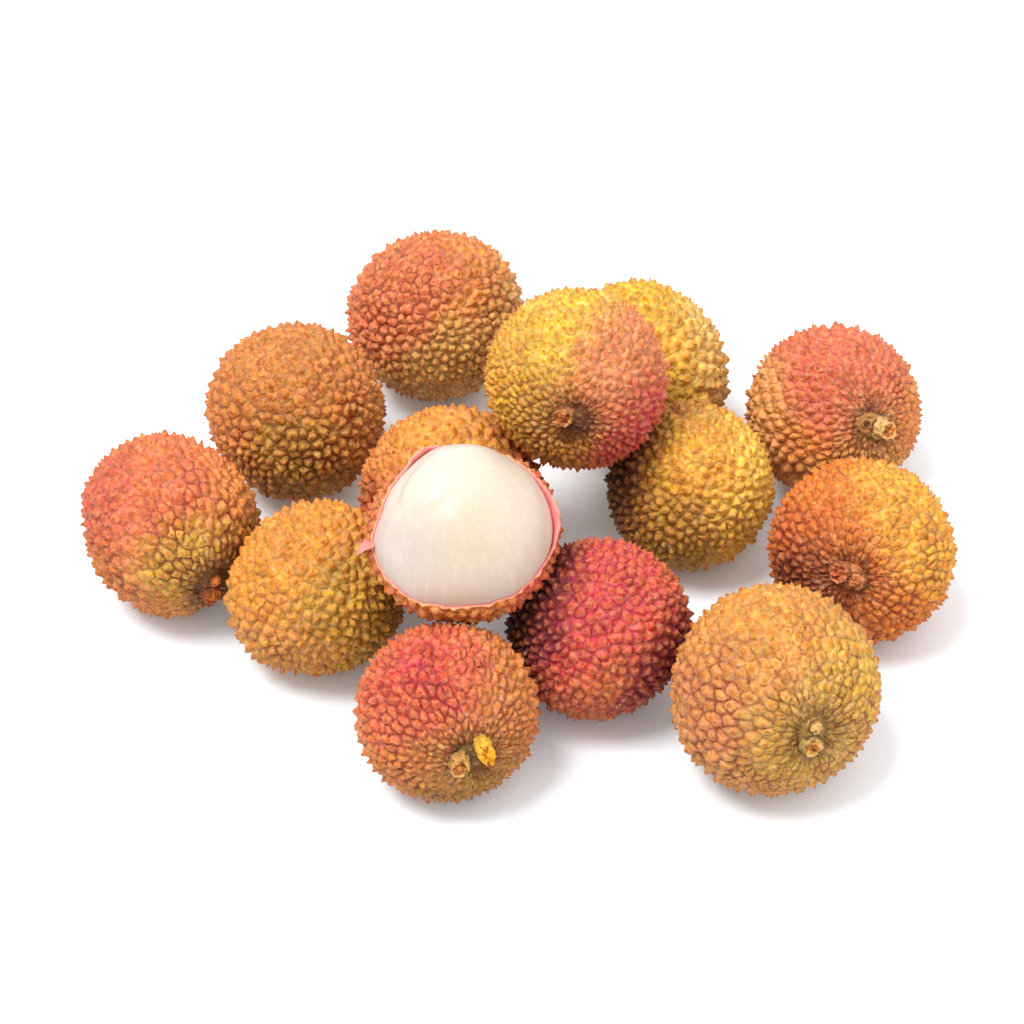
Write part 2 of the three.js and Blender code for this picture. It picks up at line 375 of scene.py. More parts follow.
def paved(directions, rng, stones, crowding, crisp=True):
    """New directions, each one's stone, its rise from groove (0) to tip (1), and local scale."""
    moved, wider = stretched_near_stem(directions, crowding)
    wobble = np.column_stack([slow_waves(directions, rng, 6, WOBBLE_PACE) for _ in range(3)])
    moved = unit(moved + WOBBLE * wobble)
    seeds = settled_seeds(scattered_seeds(rng, stones), moved)
    if crisp:
        directions = drawn_to_stones(directions, moved, wider, seeds)
        moved, wider = stretched_near_stem(directions, crowding)
        moved = unit(moved + WOBBLE * wobble)
    nearest, _, to_nearest, to_next = two_nearest(moved, seeds)
    rise = (to_next - to_nearest) / np.maximum(to_next + to_nearest, 1e-6)
    return directions, nearest, rise, 1 / np.maximum(wider, 1), len(seeds)


_, _, test_rise, _, test_count = paved(ball, np.random.default_rng(1), 900, STEM_CROWDING)
print(f"{test_count} stones, mean rise {test_rise.mean():.2f}")

# %% [markdown]
# ## The shape of one pimple
#
# On a smooth side of a fruit a pimple is a low pyramid that fills its stone up to the grooves.
# On a sharp side it is a slim cone that stands on plain skin. Most are something between. Tips
# lean a little, and no two are equally high. The height is measured from the plain solid's
# surface, which runs partway up the pimples.

# %% Pimple profile
NIB_FOOT = 0.32
NIB_TOP = 0.92
CONE_FOOT = 0.22


def pimple_profile(rise, sharp):
    """Share of the full height, for a rise from groove to tip."""
    stone = 0.42 * (1 - (1 - rise) ** 2.2)
    nib = 0.58 * smooth(rise, NIB_FOOT, NIB_TOP)
    plain_skin = 0.12 * smooth(rise, 0, 0.25)
    cone = 0.85 * smooth(rise, CONE_FOOT, 0.98)
    return (1 - sharp) * (stone + nib) + sharp * (plain_skin + cone)


print("halfway up, smooth and sharp:", *[round(float(pimple_profile(0.5, s)), 2) for s in (0, 1)])


# %% Pimple relief
RELIEF = 1.25  # millimetres from groove to tip
TIP_LEAN = 0.2
SHARPER_TOWARDS_TIP = 0.2
CREASE = 0.18
CREASE_PACE = 30
CALM_COLLAR = (0.12, 0.3)
STEM_END_ANGLE, PIT_SHADE_ANGLE = 0.42, 0.34
USUAL_STONES = 780
LOWEST, TALLEST = 0.6, 1.2  # beside a pimple of the usual height


def paved_relief(directions, rng, look, crowding=STEM_CROWDING, crisp=True):
    """New directions, and for each its height and lean in millimetres and the finish's marks."""
    uneven = crowding * (1 + 0.12 * slow_waves(directions, rng, pace=1.2))
    directions, stone, rise, small, count = paved(directions, rng, look["stones"], uneven, crisp)
    polar = np.arccos(np.clip(directions[:, 2], -1, 1))
    has_stem = np.any(crowding)
    sharp = look["sharp"] + SHARPER_TOWARDS_TIP * smooth(polar, 0.6, 1.6)
    sharp = np.clip(sharp + 0.35 * slow_waves(directions, rng, pace=2.0), 0, 0.85)
    calm = 0.25 + 0.75 * smooth(polar, *CALM_COLLAR) if has_stem else np.ones(len(polar))
    room = np.clip(small, 0.55, 1) * math.sqrt(USUAL_STONES / look["stones"])
    tall = rng.uniform(LOWEST, TALLEST, count)[stone]
    creases = 1 - np.abs(slow_waves(directions, rng, 7, CREASE_PACE))
    profile = pimple_profile(rise, sharp)
    height = RELIEF * look.get("relief", 1) * room * calm * (profile * tall - profile.mean())
    height += CREASE * creases * calm * smooth(rise, 0.05, 0.4)
    lean = rng.normal(scale=TIP_LEAN, size=(count, 3))[stone] * (rise**1.5 * room * calm)[:, None]
    marks = {
        "rise": rise,
        "sharp": sharp,
        "tone": rng.uniform(0, 1, count)[stone],
        "brown": rng.uniform(0, 1, count)[stone],
        "crease": creases,
        "stem_end": has_stem * np.exp(-((polar / STEM_END_ANGLE) ** 2)),
        "pit": has_stem * np.exp(-((polar / PIT_SHADE_ANGLE) ** 4)),
    }
    return directions, height, lean, marks


def with_relief(points, triangles, height, lean):
    normals = outward_normals(points, triangles)
    sideways = lean - (lean * normals).sum(axis=1, keepdims=True) * normals
    return points + normals * height[:, None] + sideways


# %% [markdown]
# ## Fruits that touch
#
# The plain solids keep a hair's breadth apart, but pimples stand proud of them. In a real heap
# they are pressed flat where fruits touch each other or the table. So each point is kept on its
# own side of the plane halfway to every near neighbour, and above the table.

# %% Neighbours and the table
NEAR = 3.0  # millimetres between two fruits whose pimples may still meet
SHY = 0.03  # millimetres short of the plane halfway
TABLE = 0.05  # millimetres above the ground


def ball_size(number):
    return fruits[number]["width"] * (1 + SIDE_SQUEEZE) / 4


PEELED_MIDDLE = np.mean(axis_ends("aril"), axis=0)
PEELED_BALL = 17.3
heap_balls = {number: (fruit["centre"], ball_size(number)) for number, fruit in fruits.items()}
heap_balls["peeled"] = (PEELED_MIDDLE, PEELED_BALL)


def kept_apart(points, own):
    """Points of one fruit, pressed back where they would enter a neighbour or the table."""
    centre, size = heap_balls[own]
    for other, (far_centre, far_size) in heap_balls.items():
        between = far_centre - centre
        distance = np.linalg.norm(between)
        if other == own or distance > size + far_size + NEAR:
            continue
        along = between / distance
        limit = size + (distance - size - far_size) / 2 - SHY
        beyond = np.maximum((points - centre) @ along - limit, 0)
        points = points - beyond[:, None] * along
    points[:, 2] = np.maximum(points[:, 2], TABLE)
    return points


touching = sum(
    np.linalg.norm(a[0] - b[0]) < a[1] + b[1] + NEAR
    for i, a in enumerate(heap_balls.values()) for b in list(heap_balls.values())[:i]
)
print(touching, "pairs of fruits lie close enough to press on each other")

# %% [markdown]
# ## Finishes from a few shared effects
#
# Every peel is coloured in the same few steps, so each step is a node group. The groups give only
# masks, colours and heights, and the Principled shader stays in each material. These helpers keep
# the lines short: each adds a node, links or sets its inputs and hands back what it gives. Most
# needn't be told where, because a socket knows which tree it is in.

# %% Node helpers: values
def colour(red, green, blue):
    """A linear colour from the everyday 0 to 255 values."""
    shares = np.array([red, green, blue]) / 255
    linear = np.where(shares <= 0.04045, shares / 12.92, ((shares + 0.055) / 1.055) ** 2.4)
    return (*linear.tolist(), 1.0)


def feed(node, inputs):
    """Each input of the node either linked to a socket or set to a value."""
    for key, value in inputs.items():
        if isinstance(value, bpy.types.NodeSocket):
            node.id_data.links.new(value, node.inputs[key])
        else:
            node.inputs[key].default_value = value


def add_node(tree, kind, inputs=None, **settings):
    node = tree.nodes.new("ShaderNode" + kind)
    for key, value in settings.items():
        setattr(node, key, value)
    feed(node, inputs or {})
    return node


def add_beside(kind, inputs, **settings):
    """A node in the tree that its first linked input comes from."""
    sockets = [value for value in inputs.values() if isinstance(value, bpy.types.NodeSocket)]
    return add_node(sockets[0].id_data, kind, inputs, **settings)


def maths(operation, *values):
    """The operation on one or two values, or one after another on more."""
    outcome = add_beside("Math", dict(enumerate(values[:2])), operation=operation).outputs[0]
    for value in values[2:]:
        outcome = add_beside("Math", {0: outcome, 1: value}, operation=operation).outputs[0]
    return outcome


def plus(*values):
    return maths("ADD", *values)


def times(*values):
    return maths("MULTIPLY", *values)


def highest(*values):
    return maths("MAXIMUM", *values)


print("middle grey sends back", round(colour(128, 128, 128)[0], 2), "of the light that white does")


# %% Node helpers: colours, ramps and groups
def mixed(share, first, second, mode="MIX"):
    """Two colours mixed; `share` of the second."""
    inputs = {0: share, 6: first, 7: second}
    return add_beside("Mix", inputs, data_type="RGBA", blend_type=mode).outputs[2]


def ramped(value, low, high, start=0.0, end=1.0):
    """`value` carried smoothly from low..high to start..end."""
    inputs = {0: value, 1: low, 2: high, 3: start, 4: end}
    return add_beside("MapRange", inputs, interpolation_type="SMOOTHSTEP").outputs[0]


def new_group(name, inputs, outputs):
    """An empty node group with named sockets, its input node's outputs and its output node."""
    tree = bpy.data.node_groups.new(name, "ShaderNodeTree")
    for socket, kind in inputs.items():
        tree.interface.new_socket(socket, in_out="INPUT", socket_type="NodeSocket" + kind)
    for socket, kind in outputs.items():
        tree.interface.new_socket(socket, in_out="OUTPUT", socket_type="NodeSocket" + kind)
    return tree, tree.nodes.new("NodeGroupInput").outputs, tree.nodes.new("NodeGroupOutput")


# %% [markdown]
# ## Where a colour lies
#
# Lychees blush on the side that hung in the sun and stay gold or olive in the shade. A patch of
# one colour is a cap of the ball round one direction, which a dot product gives for any fruit
# without painting or unwrapping it. Cloudy noise makes its soft edge ragged.

# %% Ripe patch
PATCH_NOISE = 110.0  # per metre: spots of about a centimetre


def vector_maths(operation, *values):
    node = add_beside("VectorMath", dict(enumerate(values)), operation=operation)
    return node.outputs["Value" if operation == "DOT_PRODUCT" else "Vector"]


ripe_patch, given, result = new_group(
    "ripe patch",
    {"Place": "Vector", "Direction": "Vector", "Reach": "Float", "Softness": "Float",
     "Raggedness": "Float", "Seed": "Float"},
    {"Mask": "Float"},
)
outward = vector_maths("NORMALIZE", given["Place"])
facing = vector_maths("DOT_PRODUCT", outward, given["Direction"])
spots = add_beside(
    "TexNoise",
    {"Vector": given["Place"], "W": given["Seed"], "Scale": PATCH_NOISE, "Detail": 4.0,
     "Roughness": 0.62},
    noise_dimensions="4D",
).outputs["Fac"]
uneven = times(maths("SUBTRACT", spots, 0.5), given["Raggedness"])
edge = maths("SUBTRACT", plus(facing, uneven), given["Reach"])
inner_edge = times(given["Softness"], -1.0)
feed(result, {"Mask": ramped(edge, inner_edge, given["Softness"])})


def use_group(group, inputs):
    return add_beside("Group", inputs, node_tree=group).outputs


def patch_mask(place, direction, reach, softness, raggedness, seed):
    """1 within `reach` degrees of the direction, and 0 beyond a soft and ragged edge."""
    return use_group(ripe_patch, {
        "Place": place, "Direction": direction, "Reach": math.cos(math.radians(reach)),
        "Softness": softness, "Raggedness": raggedness, "Seed": seed})["Mask"]


print("ripe patch:", len(ripe_patch.nodes), "nodes")

# %% [markdown]
# ## Wrinkles round the stem
#
# The skin is gathered where the stalk held it, in fine folds that run out over the shoulders.
# Plain noise has no direction, so its place is taken round the stem axis instead: far apart along
# the folds and close together across them.

# %% Stem wrinkles
WRINKLES = 11.0  # noise clouds across the radius of a ring round the fruit
WRINKLE_LENGTH = 2.6  # noise clouds for each radian from the stem


def clouds(place, scale, **inputs):
    """Noise, 0 to 1, with `scale` clouds per metre."""
    return add_beside("TexNoise", {"Vector": place, "Scale": scale, **inputs}).outputs["Fac"]


stem_wrinkles, given, result = new_group(
    "stem wrinkles",
    {"Place": "Vector", "To Stem": "Vector", "To Nub": "Vector", "Sideways": "Vector"},
    {"Wrinkle": "Float"},
)
outward = vector_maths("NORMALIZE", given["Place"])
up, right, back = [
    vector_maths("DOT_PRODUCT", outward, given[axis]) for axis in ("To Stem", "To Nub", "Sideways")]
polar = maths("ARCCOSINE", up)
round_stem = maths("DIVIDE", WRINKLES, maths("SINE", polar))
places = [times(right, round_stem), times(back, round_stem), times(polar, WRINKLE_LENGTH)]
ring_place = add_beside("CombineXYZ", dict(enumerate(places))).outputs[0]
feed(result, {"Wrinkle": clouds(ring_place, 1.0, Detail=2.0, Roughness=0.6)})
print("stem wrinkles:", len(stem_wrinkles.nodes), "nodes")

# %% [markdown]
# ## The colour of a pimple
#
# A ripe pimple is browned and corky at its tip. Its groove and the foot of its slopes are painted
# darker, as shade. The marks stored on the mesh say how far up a pimple a point lies, so tips and
# grooves get their colours exactly where the geometry has them. On the upper side of a fruit,
# which the light from above reaches, the painted groove shade is weaker and low skin is painted
# paler, as light.
# Noise of several sizes keeps any two pimples from looking alike.

# %% Pimple colour: its sockets and its noises
# Painted highlight colour for what stands proud and for the upper side.
PALE_HIGHLIGHT = colour(252, 226, 180)
# Painted shade colour for the pit round the stalk.
PIT_BROWN = colour(84, 54, 32)
NIB_STAIN = colour(224, 180, 122)
GRAIN = 1300.0  # per metre, as the others: grains of about three quarters of a millimetre
SPECKS = 2600.0
FACETS = 950.0  # small facets with sharp edges, about a millimetre wide
MOTTLES = 620.0  # a slightly redder or yellower pimple here and there
BLOTCHES = 260.0  # lighter and darker groups of pimples
# The painted groove shade is stronger in some places and hardly shows in others.
UNEVEN_GROOVE_SHADE = 150.0  # grooves show in some places, and hardly in others


def cells(place, scale):
    """Distance from the middle of random cells, `scale` of them per metre."""
    inputs = {"Vector": place, "Scale": scale, "Randomness": 1.0}
    return add_beside("TexVoronoi", inputs).outputs["Distance"]


pimple_colour, given, result = new_group(
    "pimple colour",
    {"Place": "Vector", "Skin": "Color", "Tip": "Color", "Nib": "Color", "Groove Shade": "Color",
     "Stem Skin": "Color", "Rise": "Float", "Sharp": "Float", "Tone": "Float", "Brown": "Float",
     "Crease": "Float", "Stem End": "Float", "Pit": "Float", "Wrinkle": "Float", "Lit Top": "Float"},
    {"Color": "Color", "Roughness": "Float", "Grain": "Float"},
)
place = given["Place"]
grain = clouds(place, GRAIN, Detail=3.0, Roughness=0.7)
blotch = clouds(place, BLOTCHES, Detail=4.0, Roughness=0.6)
mottle = clouds(place, MOTTLES, Detail=2.0, Roughness=0.6)
uneven_groove_shade = clouds(place, UNEVEN_GROOVE_SHADE, Detail=3.0, Roughness=0.6)
speck = clouds(place, SPECKS, Detail=2.0)
facet = cells(place, FACETS)
ragged = maths("SUBTRACT", grain, 0.5)
ragged_rise = plus(given["Rise"], times(ragged, 0.6))
nearly_rise = plus(given["Rise"], times(ragged, 0.3))

# %% Pimple colour: skin, brighter or darker from place to place
by_stem = times(given["Stem End"], ramped(blotch, 0.3, 0.6, 0.5, 1.0))
skin = mixed(by_stem, given["Skin"], given["Stem Skin"])
bright = times(
    ramped(given["Tone"], 0.0, 1.0, 0.8, 1.11), ramped(blotch, 0.3, 0.7, 0.88, 1.1),
    ramped(facet, 0.2, 0.75, 1.07, 0.88), ramped(given["Lit Top"], 0.0, 1.0, 1.0, 0.95))
lively = add_beside(
    "HueSaturation",
    {"Hue": ramped(mottle, 0.3, 0.7, 0.482, 0.509),
     "Saturation": ramped(grain, 0.3, 0.7, 1.16, 0.92), "Value": bright, "Color": skin},
).outputs[0]

# %% Pimple colour: painted shade on the foot of a pimple, where the skin turns down to the groove
groove_shows = times(
    ramped(uneven_groove_shade, 0.4, 0.6, 0.45, 1.25), ramped(given["Stem End"], 0.2, 0.9, 1.0, 0.4),
    ramped(given["Lit Top"], 0.0, 1.0, 1.0, 0.65))
blunt = ramped(given["Sharp"], 0.0, 1.0, 1.0, 0.35)
foot = times(ramped(ragged_rise, 0.05, 0.45, 0.6, 0.0), groove_shows, blunt)
shaded_skin = mixed(1.0, skin, given["Groove Shade"], "MULTIPLY")
# Painted light: on the upper side the low skin is painted paler.
lit_top_paling = times(given["Lit Top"], ramped(ragged_rise, 0.1, 0.5, 0.07, 0.0))
footed = mixed(lit_top_paling, mixed(foot, lively, shaded_skin), PALE_HIGHLIGHT)

# %% Pimple colour: the crown and the browned nib on it
crown = times(ramped(ragged_rise, 0.3, 0.65), ramped(given["Brown"], 0.0, 0.8, 0.2, 0.55))
crowned = mixed(crown, footed, given["Tip"])
browning = highest(ramped(given["Brown"], 0.0, 0.8, 0.45, 1.0), given["Lit Top"])
nib = times(ramped(ragged_rise, 0.4, 0.75), browning)
browned_skin = mixed(1.0, skin, NIB_STAIN, "MULTIPLY")
nibbed = mixed(nib, crowned, mixed(0.6, given["Nib"], browned_skin))

# %% Pimple colour: the dark line between pimples and the folds round the stem, as painted shade
blunt_line = ramped(given["Sharp"], 0.1, 0.85, 0.85, 0.2)
line = times(ramped(nearly_rise, 0.0, 0.14, 1.0, 0.0), groove_shows, blunt_line)
lined = mixed(line, nibbed, mixed(0.25, shaded_skin, given["Groove Shade"], "MULTIPLY"))
# Painted shade in the low folds of the wrinkles round the stem.
fold = times(ramped(given["Wrinkle"], 0.49, 0.38, 0.0, 0.95), by_stem)
folded = mixed(fold, lined, mixed(0.7, shaded_skin, given["Groove Shade"], "MULTIPLY"))

# %% Pimple colour: painted highlights on what stands proud, and painted shade in the pit
lit_crease = times(
    ramped(given["Crease"], 0.7, 1.0), ramped(speck, 0.4, 0.65, 0.0, 0.45), given["Rise"])
lit_wrinkle = times(ramped(given["Wrinkle"], 0.53, 0.64, 0.0, 0.5), by_stem)
highlighted = mixed(highest(lit_wrinkle, lit_crease), folded, PALE_HIGHLIGHT)
patchy = ramped(blotch, 0.38, 0.58, 0.45, 1.0)
# Painted shade in the pit round the stalk.
pit_shade = times(given["Pit"], ramped(ragged_rise, 0.0, 0.9, 1.0, 0.4), patchy)
shaded = mixed(pit_shade, highlighted, mixed(0.5, shaded_skin, PIT_BROWN))

# %% Pimple colour: roughness and grain
WRINKLE_BUMP, SPECK_BUMP, FACET_BUMP = 4.0, 0.35, -1.1  # beside the grain's height of 1
roughness = ramped(given["Rise"], 0.1, 0.9, 0.66, 0.42)
bumps = plus(
    grain, times(speck, SPECK_BUMP), times(facet, FACET_BUMP),
    ramped(given["Rise"], 0.0, 0.25, 0.0, 0.4), times(given["Wrinkle"], by_stem, WRINKLE_BUMP))
feed(result, {"Color": shaded, "Roughness": roughness, "Grain": bumps})
print("pimple colour:", len(pimple_colour.nodes), "nodes")

# %% [markdown]
# ## A finish for each fruit
#
# No two lychees in a bunch are equally ripe, so each fruit has its own ground colour and its own
# patches, laid over it one after another. Some dark patches are painted shade, where a neighbour
# shades the fruit. A patch says its colour, the side it is on as seen from the front (right, up,
# near), and how far it reaches in degrees. The other values say how many pimples the fruit has,
# how pointed and how high they are, and how strongly light from above is painted on its upper side.

# %% Peel colours
# Painted shade on fruit 11, where its neighbours shade it.
SHADED_CRIMSON = colour(150, 52, 54)
CRIMSON = colour(216, 90, 86)
ORANGE = colour(234, 156, 88)
DEEP_ORANGE = colour(234, 142, 62)
AMBER = colour(240, 170, 78)
GOLD = colour(246, 194, 84)
OLIVE = colour(212, 172, 76)
DARK_OLIVE = colour(168, 124, 52)
OCHRE = colour(222, 158, 86)
RUST = colour(178, 86, 54)
TAN = colour(232, 176, 108)
ORANGE_TIP = colour(234, 148, 84)
GOLDEN_TIP = colour(228, 162, 70)
BURNT_NIB = colour(170, 82, 38)
AMBER_NIB = colour(188, 108, 36)
# Groove colours multiply the skin: painted shade in grooves, folds and the pit, with a tint.
PURPLE_GROOVE_SHADE = colour(162, 88, 90)
BROWN_GROOVE_SHADE = colour(160, 102, 78)
OLIVE_GROOVE_SHADE = colour(170, 112, 70)

# %% How ripe each fruit is, and where painted shade darkens it
RIPENESS_AND_SHADE = {
    "01": dict(
        ground=ORANGE, tip=ORANGE_TIP, groove=PURPLE_GROOVE_SHADE, stem=colour(168, 124, 62),
        stones=800, sharp=0.5, patches=[
            (colour(232, 134, 90), (-0.55, 0.65, 0.5), 72),
            (colour(208, 110, 84), (-0.9, 0.3, 0.3), 38),
            (colour(206, 132, 76), (-0.6, -0.75, 0.3), 40), (OLIVE, (0.35, -0.5, 0.8), 36),
            # These two patches are painted shade, on the right and the lower right.
            (DARK_OLIVE, (0.95, -0.25, 0.2), 34), (colour(106, 74, 40), (0.85, -0.6, 0.0), 36)]),
    "02": dict(
        ground=colour(212, 140, 76), tip=ORANGE_TIP, groove=BROWN_GROOVE_SHADE,
        stones=740, sharp=0.45, relief=0.95, patches=[
            (colour(212, 142, 74), (-0.1, 0.7, 0.7), 40),
            (colour(194, 150, 70), (0.15, -0.75, 0.65), 46),
            (colour(208, 144, 78), (0.95, -0.3, 0.2), 36)]),
    "03": dict(
        ground=colour(222, 176, 102), tip=ORANGE_TIP, groove=BROWN_GROOVE_SHADE,
        stones=880, sharp=0.35, lit_top=0.4, patches=[
            (colour(226, 150, 88), (0.5, 0.6, 0.6), 46), (colour(228, 140, 94), (-0.7, 0.45, 0.5), 64),
            (colour(214, 170, 98), (0.95, -0.1, 0.2), 38)]),
    "04": dict(
        ground=AMBER, tip=GOLDEN_TIP, groove=OLIVE_GROOVE_SHADE, stones=700, sharp=0.5, patches=[
            (colour(234, 164, 78), (-0.3, 0.7, 0.6), 55), (colour(206, 160, 70), (0.5, -0.5, 0.7), 50),
            (colour(212, 152, 84), (-0.5, -0.8, 0.3), 44)]),
    "05": dict(
        ground=ORANGE, tip=ORANGE_TIP, groove=BROWN_GROOVE_SHADE, stones=680, sharp=0.7, patches=[
            (AMBER, (0.0, 0.8, 0.6), 50), (RUST, (-0.7, -0.6, 0.4), 45), (RUST, (0.9, 0.2, 0.2), 30)]),
    "06": dict(
        ground=ORANGE, tip=ORANGE_TIP, groove=BROWN_GROOVE_SHADE, stem=colour(196, 122, 70),
        stones=900, sharp=0.45, relief=1.05, patches=[
            (colour(242, 203, 84), (-0.45, 0.8, 0.4), 62),
            (colour(238, 184, 80), (-0.95, 0.0, 0.3), 48),
            (colour(234, 152, 102), (0.8, 0.0, 0.5), 58), (CRIMSON, (0.75, -0.6, 0.25), 40),
            (OLIVE, (-0.5, -0.7, 0.5), 38)]),
    "07": dict(
        ground=GOLD, tip=GOLDEN_TIP, groove=OLIVE_GROOVE_SHADE, stones=720, sharp=0.6, lit_top=1.0, patches=[
            (colour(236, 190, 66), (-0.2, 0.8, 0.5), 44), (OLIVE, (0.2, -0.65, 0.7), 44),
            (colour(236, 196, 116), (0.95, 0.2, 0.2), 40)]),
    "08": dict(
        ground=GOLD, tip=GOLDEN_TIP, groove=OLIVE_GROOVE_SHADE, stones=840, sharp=0.3, lit_top=0.3, patches=[
            (colour(250, 206, 100), (0.6, 0.3, 0.7), 62), (colour(204, 150, 74), (-0.1, 0.95, 0.2), 34),
            (AMBER, (0.0, 0.25, 0.95), 24),
            # The last two patches are painted shade on the left side, where fruit 06 shades it.
            (colour(190, 144, 68), (-0.4, -0.7, 0.5), 50), (colour(140, 92, 48), (-0.92, 0.2, 0.1), 54),
            (colour(84, 46, 30), (-1.0, 0.3, -0.1), 44)]),
    "09": dict(
        ground=ORANGE, tip=ORANGE_TIP, groove=PURPLE_GROOVE_SHADE, stem=colour(210, 150, 88),
        stones=760, sharp=0.5, lit_top=0.4, patches=[
            (colour(222, 126, 94), (-0.1, 0.7, 0.7), 60), (TAN, (-0.95, -0.1, 0.2), 42),
            (colour(228, 186, 100), (0.2, -0.9, 0.3), 40)]),
    "10": dict(
        ground=DEEP_ORANGE, tip=DEEP_ORANGE, groove=BROWN_GROOVE_SHADE, stem=colour(200, 112, 54),
        stones=820, sharp=0.3, patches=[
            (colour(244, 182, 76), (0.75, 0.5, 0.4), 62),
            (colour(214, 122, 70), (-0.85, -0.3, 0.4), 50),
            # Painted shade below the stalk, on the lower left.
            (colour(112, 50, 30), (-0.65, -0.65, 0.4), 34)]),
    "11": dict(
        ground=colour(208, 110, 80), tip=ORANGE_TIP, groove=PURPLE_GROOVE_SHADE,
        stones=900, sharp=0.25, lit_top=0.2, patches=[
            (colour(220, 100, 90), (-0.3, 0.6, 0.7), 66), (colour(206, 118, 78), (0.3, -0.85, 0.4), 40),
            # The rest are painted shade: under the peeled fruit on the left, and on the lower right.
            (SHADED_CRIMSON, (-0.97, 0.2, 0.15), 58), (SHADED_CRIMSON, (0.85, -0.5, 0.1), 50),
            (colour(124, 38, 42), (-0.75, 0.5, 0.4), 30),
            (colour(78, 22, 28), (-1.0, 0.2, 0.0), 46)]),
    "12": dict(
        ground=colour(212, 140, 82), tip=ORANGE_TIP, groove=PURPLE_GROOVE_SHADE, stem=colour(200, 142, 68),
        stones=900, sharp=0.35, relief=1.15, lit_top=0.2, patches=[
            (colour(226, 126, 90), (-0.4, 0.6, 0.65), 58), (CRIMSON, (-0.3, 0.5, 0.8), 22),
            (DARK_OLIVE, (0.3, -0.95, 0.2), 40)]),
    "13": dict(
        ground=colour(208, 152, 92), tip=GOLDEN_TIP, groove=OLIVE_GROOVE_SHADE, stem=colour(204, 162, 88),
        stones=860, sharp=0.5, patches=[
            (colour(210, 144, 94), (-0.7, 0.1, 0.7), 46), (colour(228, 166, 88), (-0.1, 0.8, 0.6), 46),
            (colour(236, 194, 92), (0.8, 0.1, 0.6), 30), (OLIVE, (0.3, -0.5, 0.8), 36)]),
}
print(sum(len(look["patches"]) for look in RIPENESS_AND_SHADE.values()), "patches on", len(RIPENESS_AND_SHADE), "fruits")


# %% Starting a material
def new_material(name):
    """A material, its Principled shader, and the place on the piece in metres."""
    material = bpy.data.materials.new(name)
    material.use_nodes = True
    tree = material.node_tree
    return material, tree.nodes["Principled BSDF"], add_node(tree, "TexCoord").outputs["Object"]


def stored_marks(shader, marks, ending=""):
    """The marks on the mesh, each under the name of the group socket that takes it."""
    return {
        mark.replace("_", " ").title() + ending:
        add_node(shader.id_data, "Attribute", attribute_name=mark).outputs["Fac"] for mark in marks}


def grain_normal(height, strength, depth):
    """Fine relief in the shading only, `depth` millimetres for a height of 1."""
    inputs = {"Strength": strength, "Distance": depth * MM, "Height": height}
    return add_beside("Bump", inputs).outputs["Normal"]


# %% One fruit's peel
PEEL_MARKS = ("rise", "sharp", "tone", "brown", "crease", "stem_end", "pit")
PATCH_SOFTNESS, PATCH_RAGGEDNESS = 0.22, 0.7
LIT_TOP_REACH, LIT_TOP_SOFTNESS, LIT_TOP_RAGGEDNESS = 56.633, 0.35, 1.2
USUALLY_LIT_TOP = 0.8


def peel_material(name, look, seed, axes):
    material, shader, place = new_material(name)
    skin = look["ground"]
    for layer, (patch_colour, side, reach) in enumerate(look["patches"]):
        mask = patch_mask(
            place, seen(*side), reach, PATCH_SOFTNESS, PATCH_RAGGEDNESS, seed + 0.37 * layer)
        skin = mixed(mask, skin, patch_colour)
    # The upper side, which light from above reaches: there the painted groove shade is weaker and the
    # low skin is painted paler.
    lit_top = patch_mask(
        place, Vector((0, 0, 1)), LIT_TOP_REACH, LIT_TOP_SOFTNESS, LIT_TOP_RAGGEDNESS, seed + 0.81)
    wrinkle = use_group(stem_wrinkles, {
        "Place": place, "To Nub": Vector(axes[0]), "Sideways": Vector(axes[1]),
        "To Stem": Vector(axes[2])})["Wrinkle"]
    finish = use_group(pimple_colour, {
        **stored_marks(shader, PEEL_MARKS), "Place": place, "Skin": skin, "Tip": look["tip"],
        "Nib": AMBER_NIB if look["tip"] == GOLDEN_TIP else BURNT_NIB, "Wrinkle": wrinkle,
        "Groove Shade": look["groove"], "Stem Skin": look.get("stem", OCHRE),
        "Lit Top": times(lit_top, look.get("lit_top", USUALLY_LIT_TOP))})
    feed(shader, {
        "Base Color": finish["Color"], "Roughness": finish["Roughness"],
        "Specular IOR Level": 0.35, "Normal": grain_normal(finish["Grain"], 1.0, 0.42)})
    return material


# %% [markdown]
# ## Whole fruits
#
# Now a fruit is one call. The ball's directions are taken in the fruit's own frame, so pit,
# shoulders and drawn-out pimples face its stem. The surface follows the same few sizes as the
# plain solid, the pimples stand on it, and the neighbours press on it. No lychee is quite round,
# so a few get a swelling or a flatter side as well.

# %% The surface under the pimples
def fruit_surface(directions, fruit):
    """The plain fruit, in its own frame, without its pimples."""
    polar = np.arccos(np.clip(directions[:, 2], -1, 1))
    across = np.sin(polar) / (fruit["width"] / 2)
    along = np.cos(polar) / (fruit["length"] / 2)
    flattened = 1 - SHOULDER_FLATNESS * np.maximum(np.cos(polar), 0) ** 3
    reach = flattened / np.hypot(across, along) - PIT_DEPTH * np.exp(-((polar / PIT_ANGLE) ** 2))
    points = directions * reach[:, None]
    points[:, 2] += SHOULDER_LEAN * points[:, 0] * np.maximum(points[:, 2], 0) / (fruit["length"] / 2)
    points[:, 1] *= SIDE_SQUEEZE
    return points


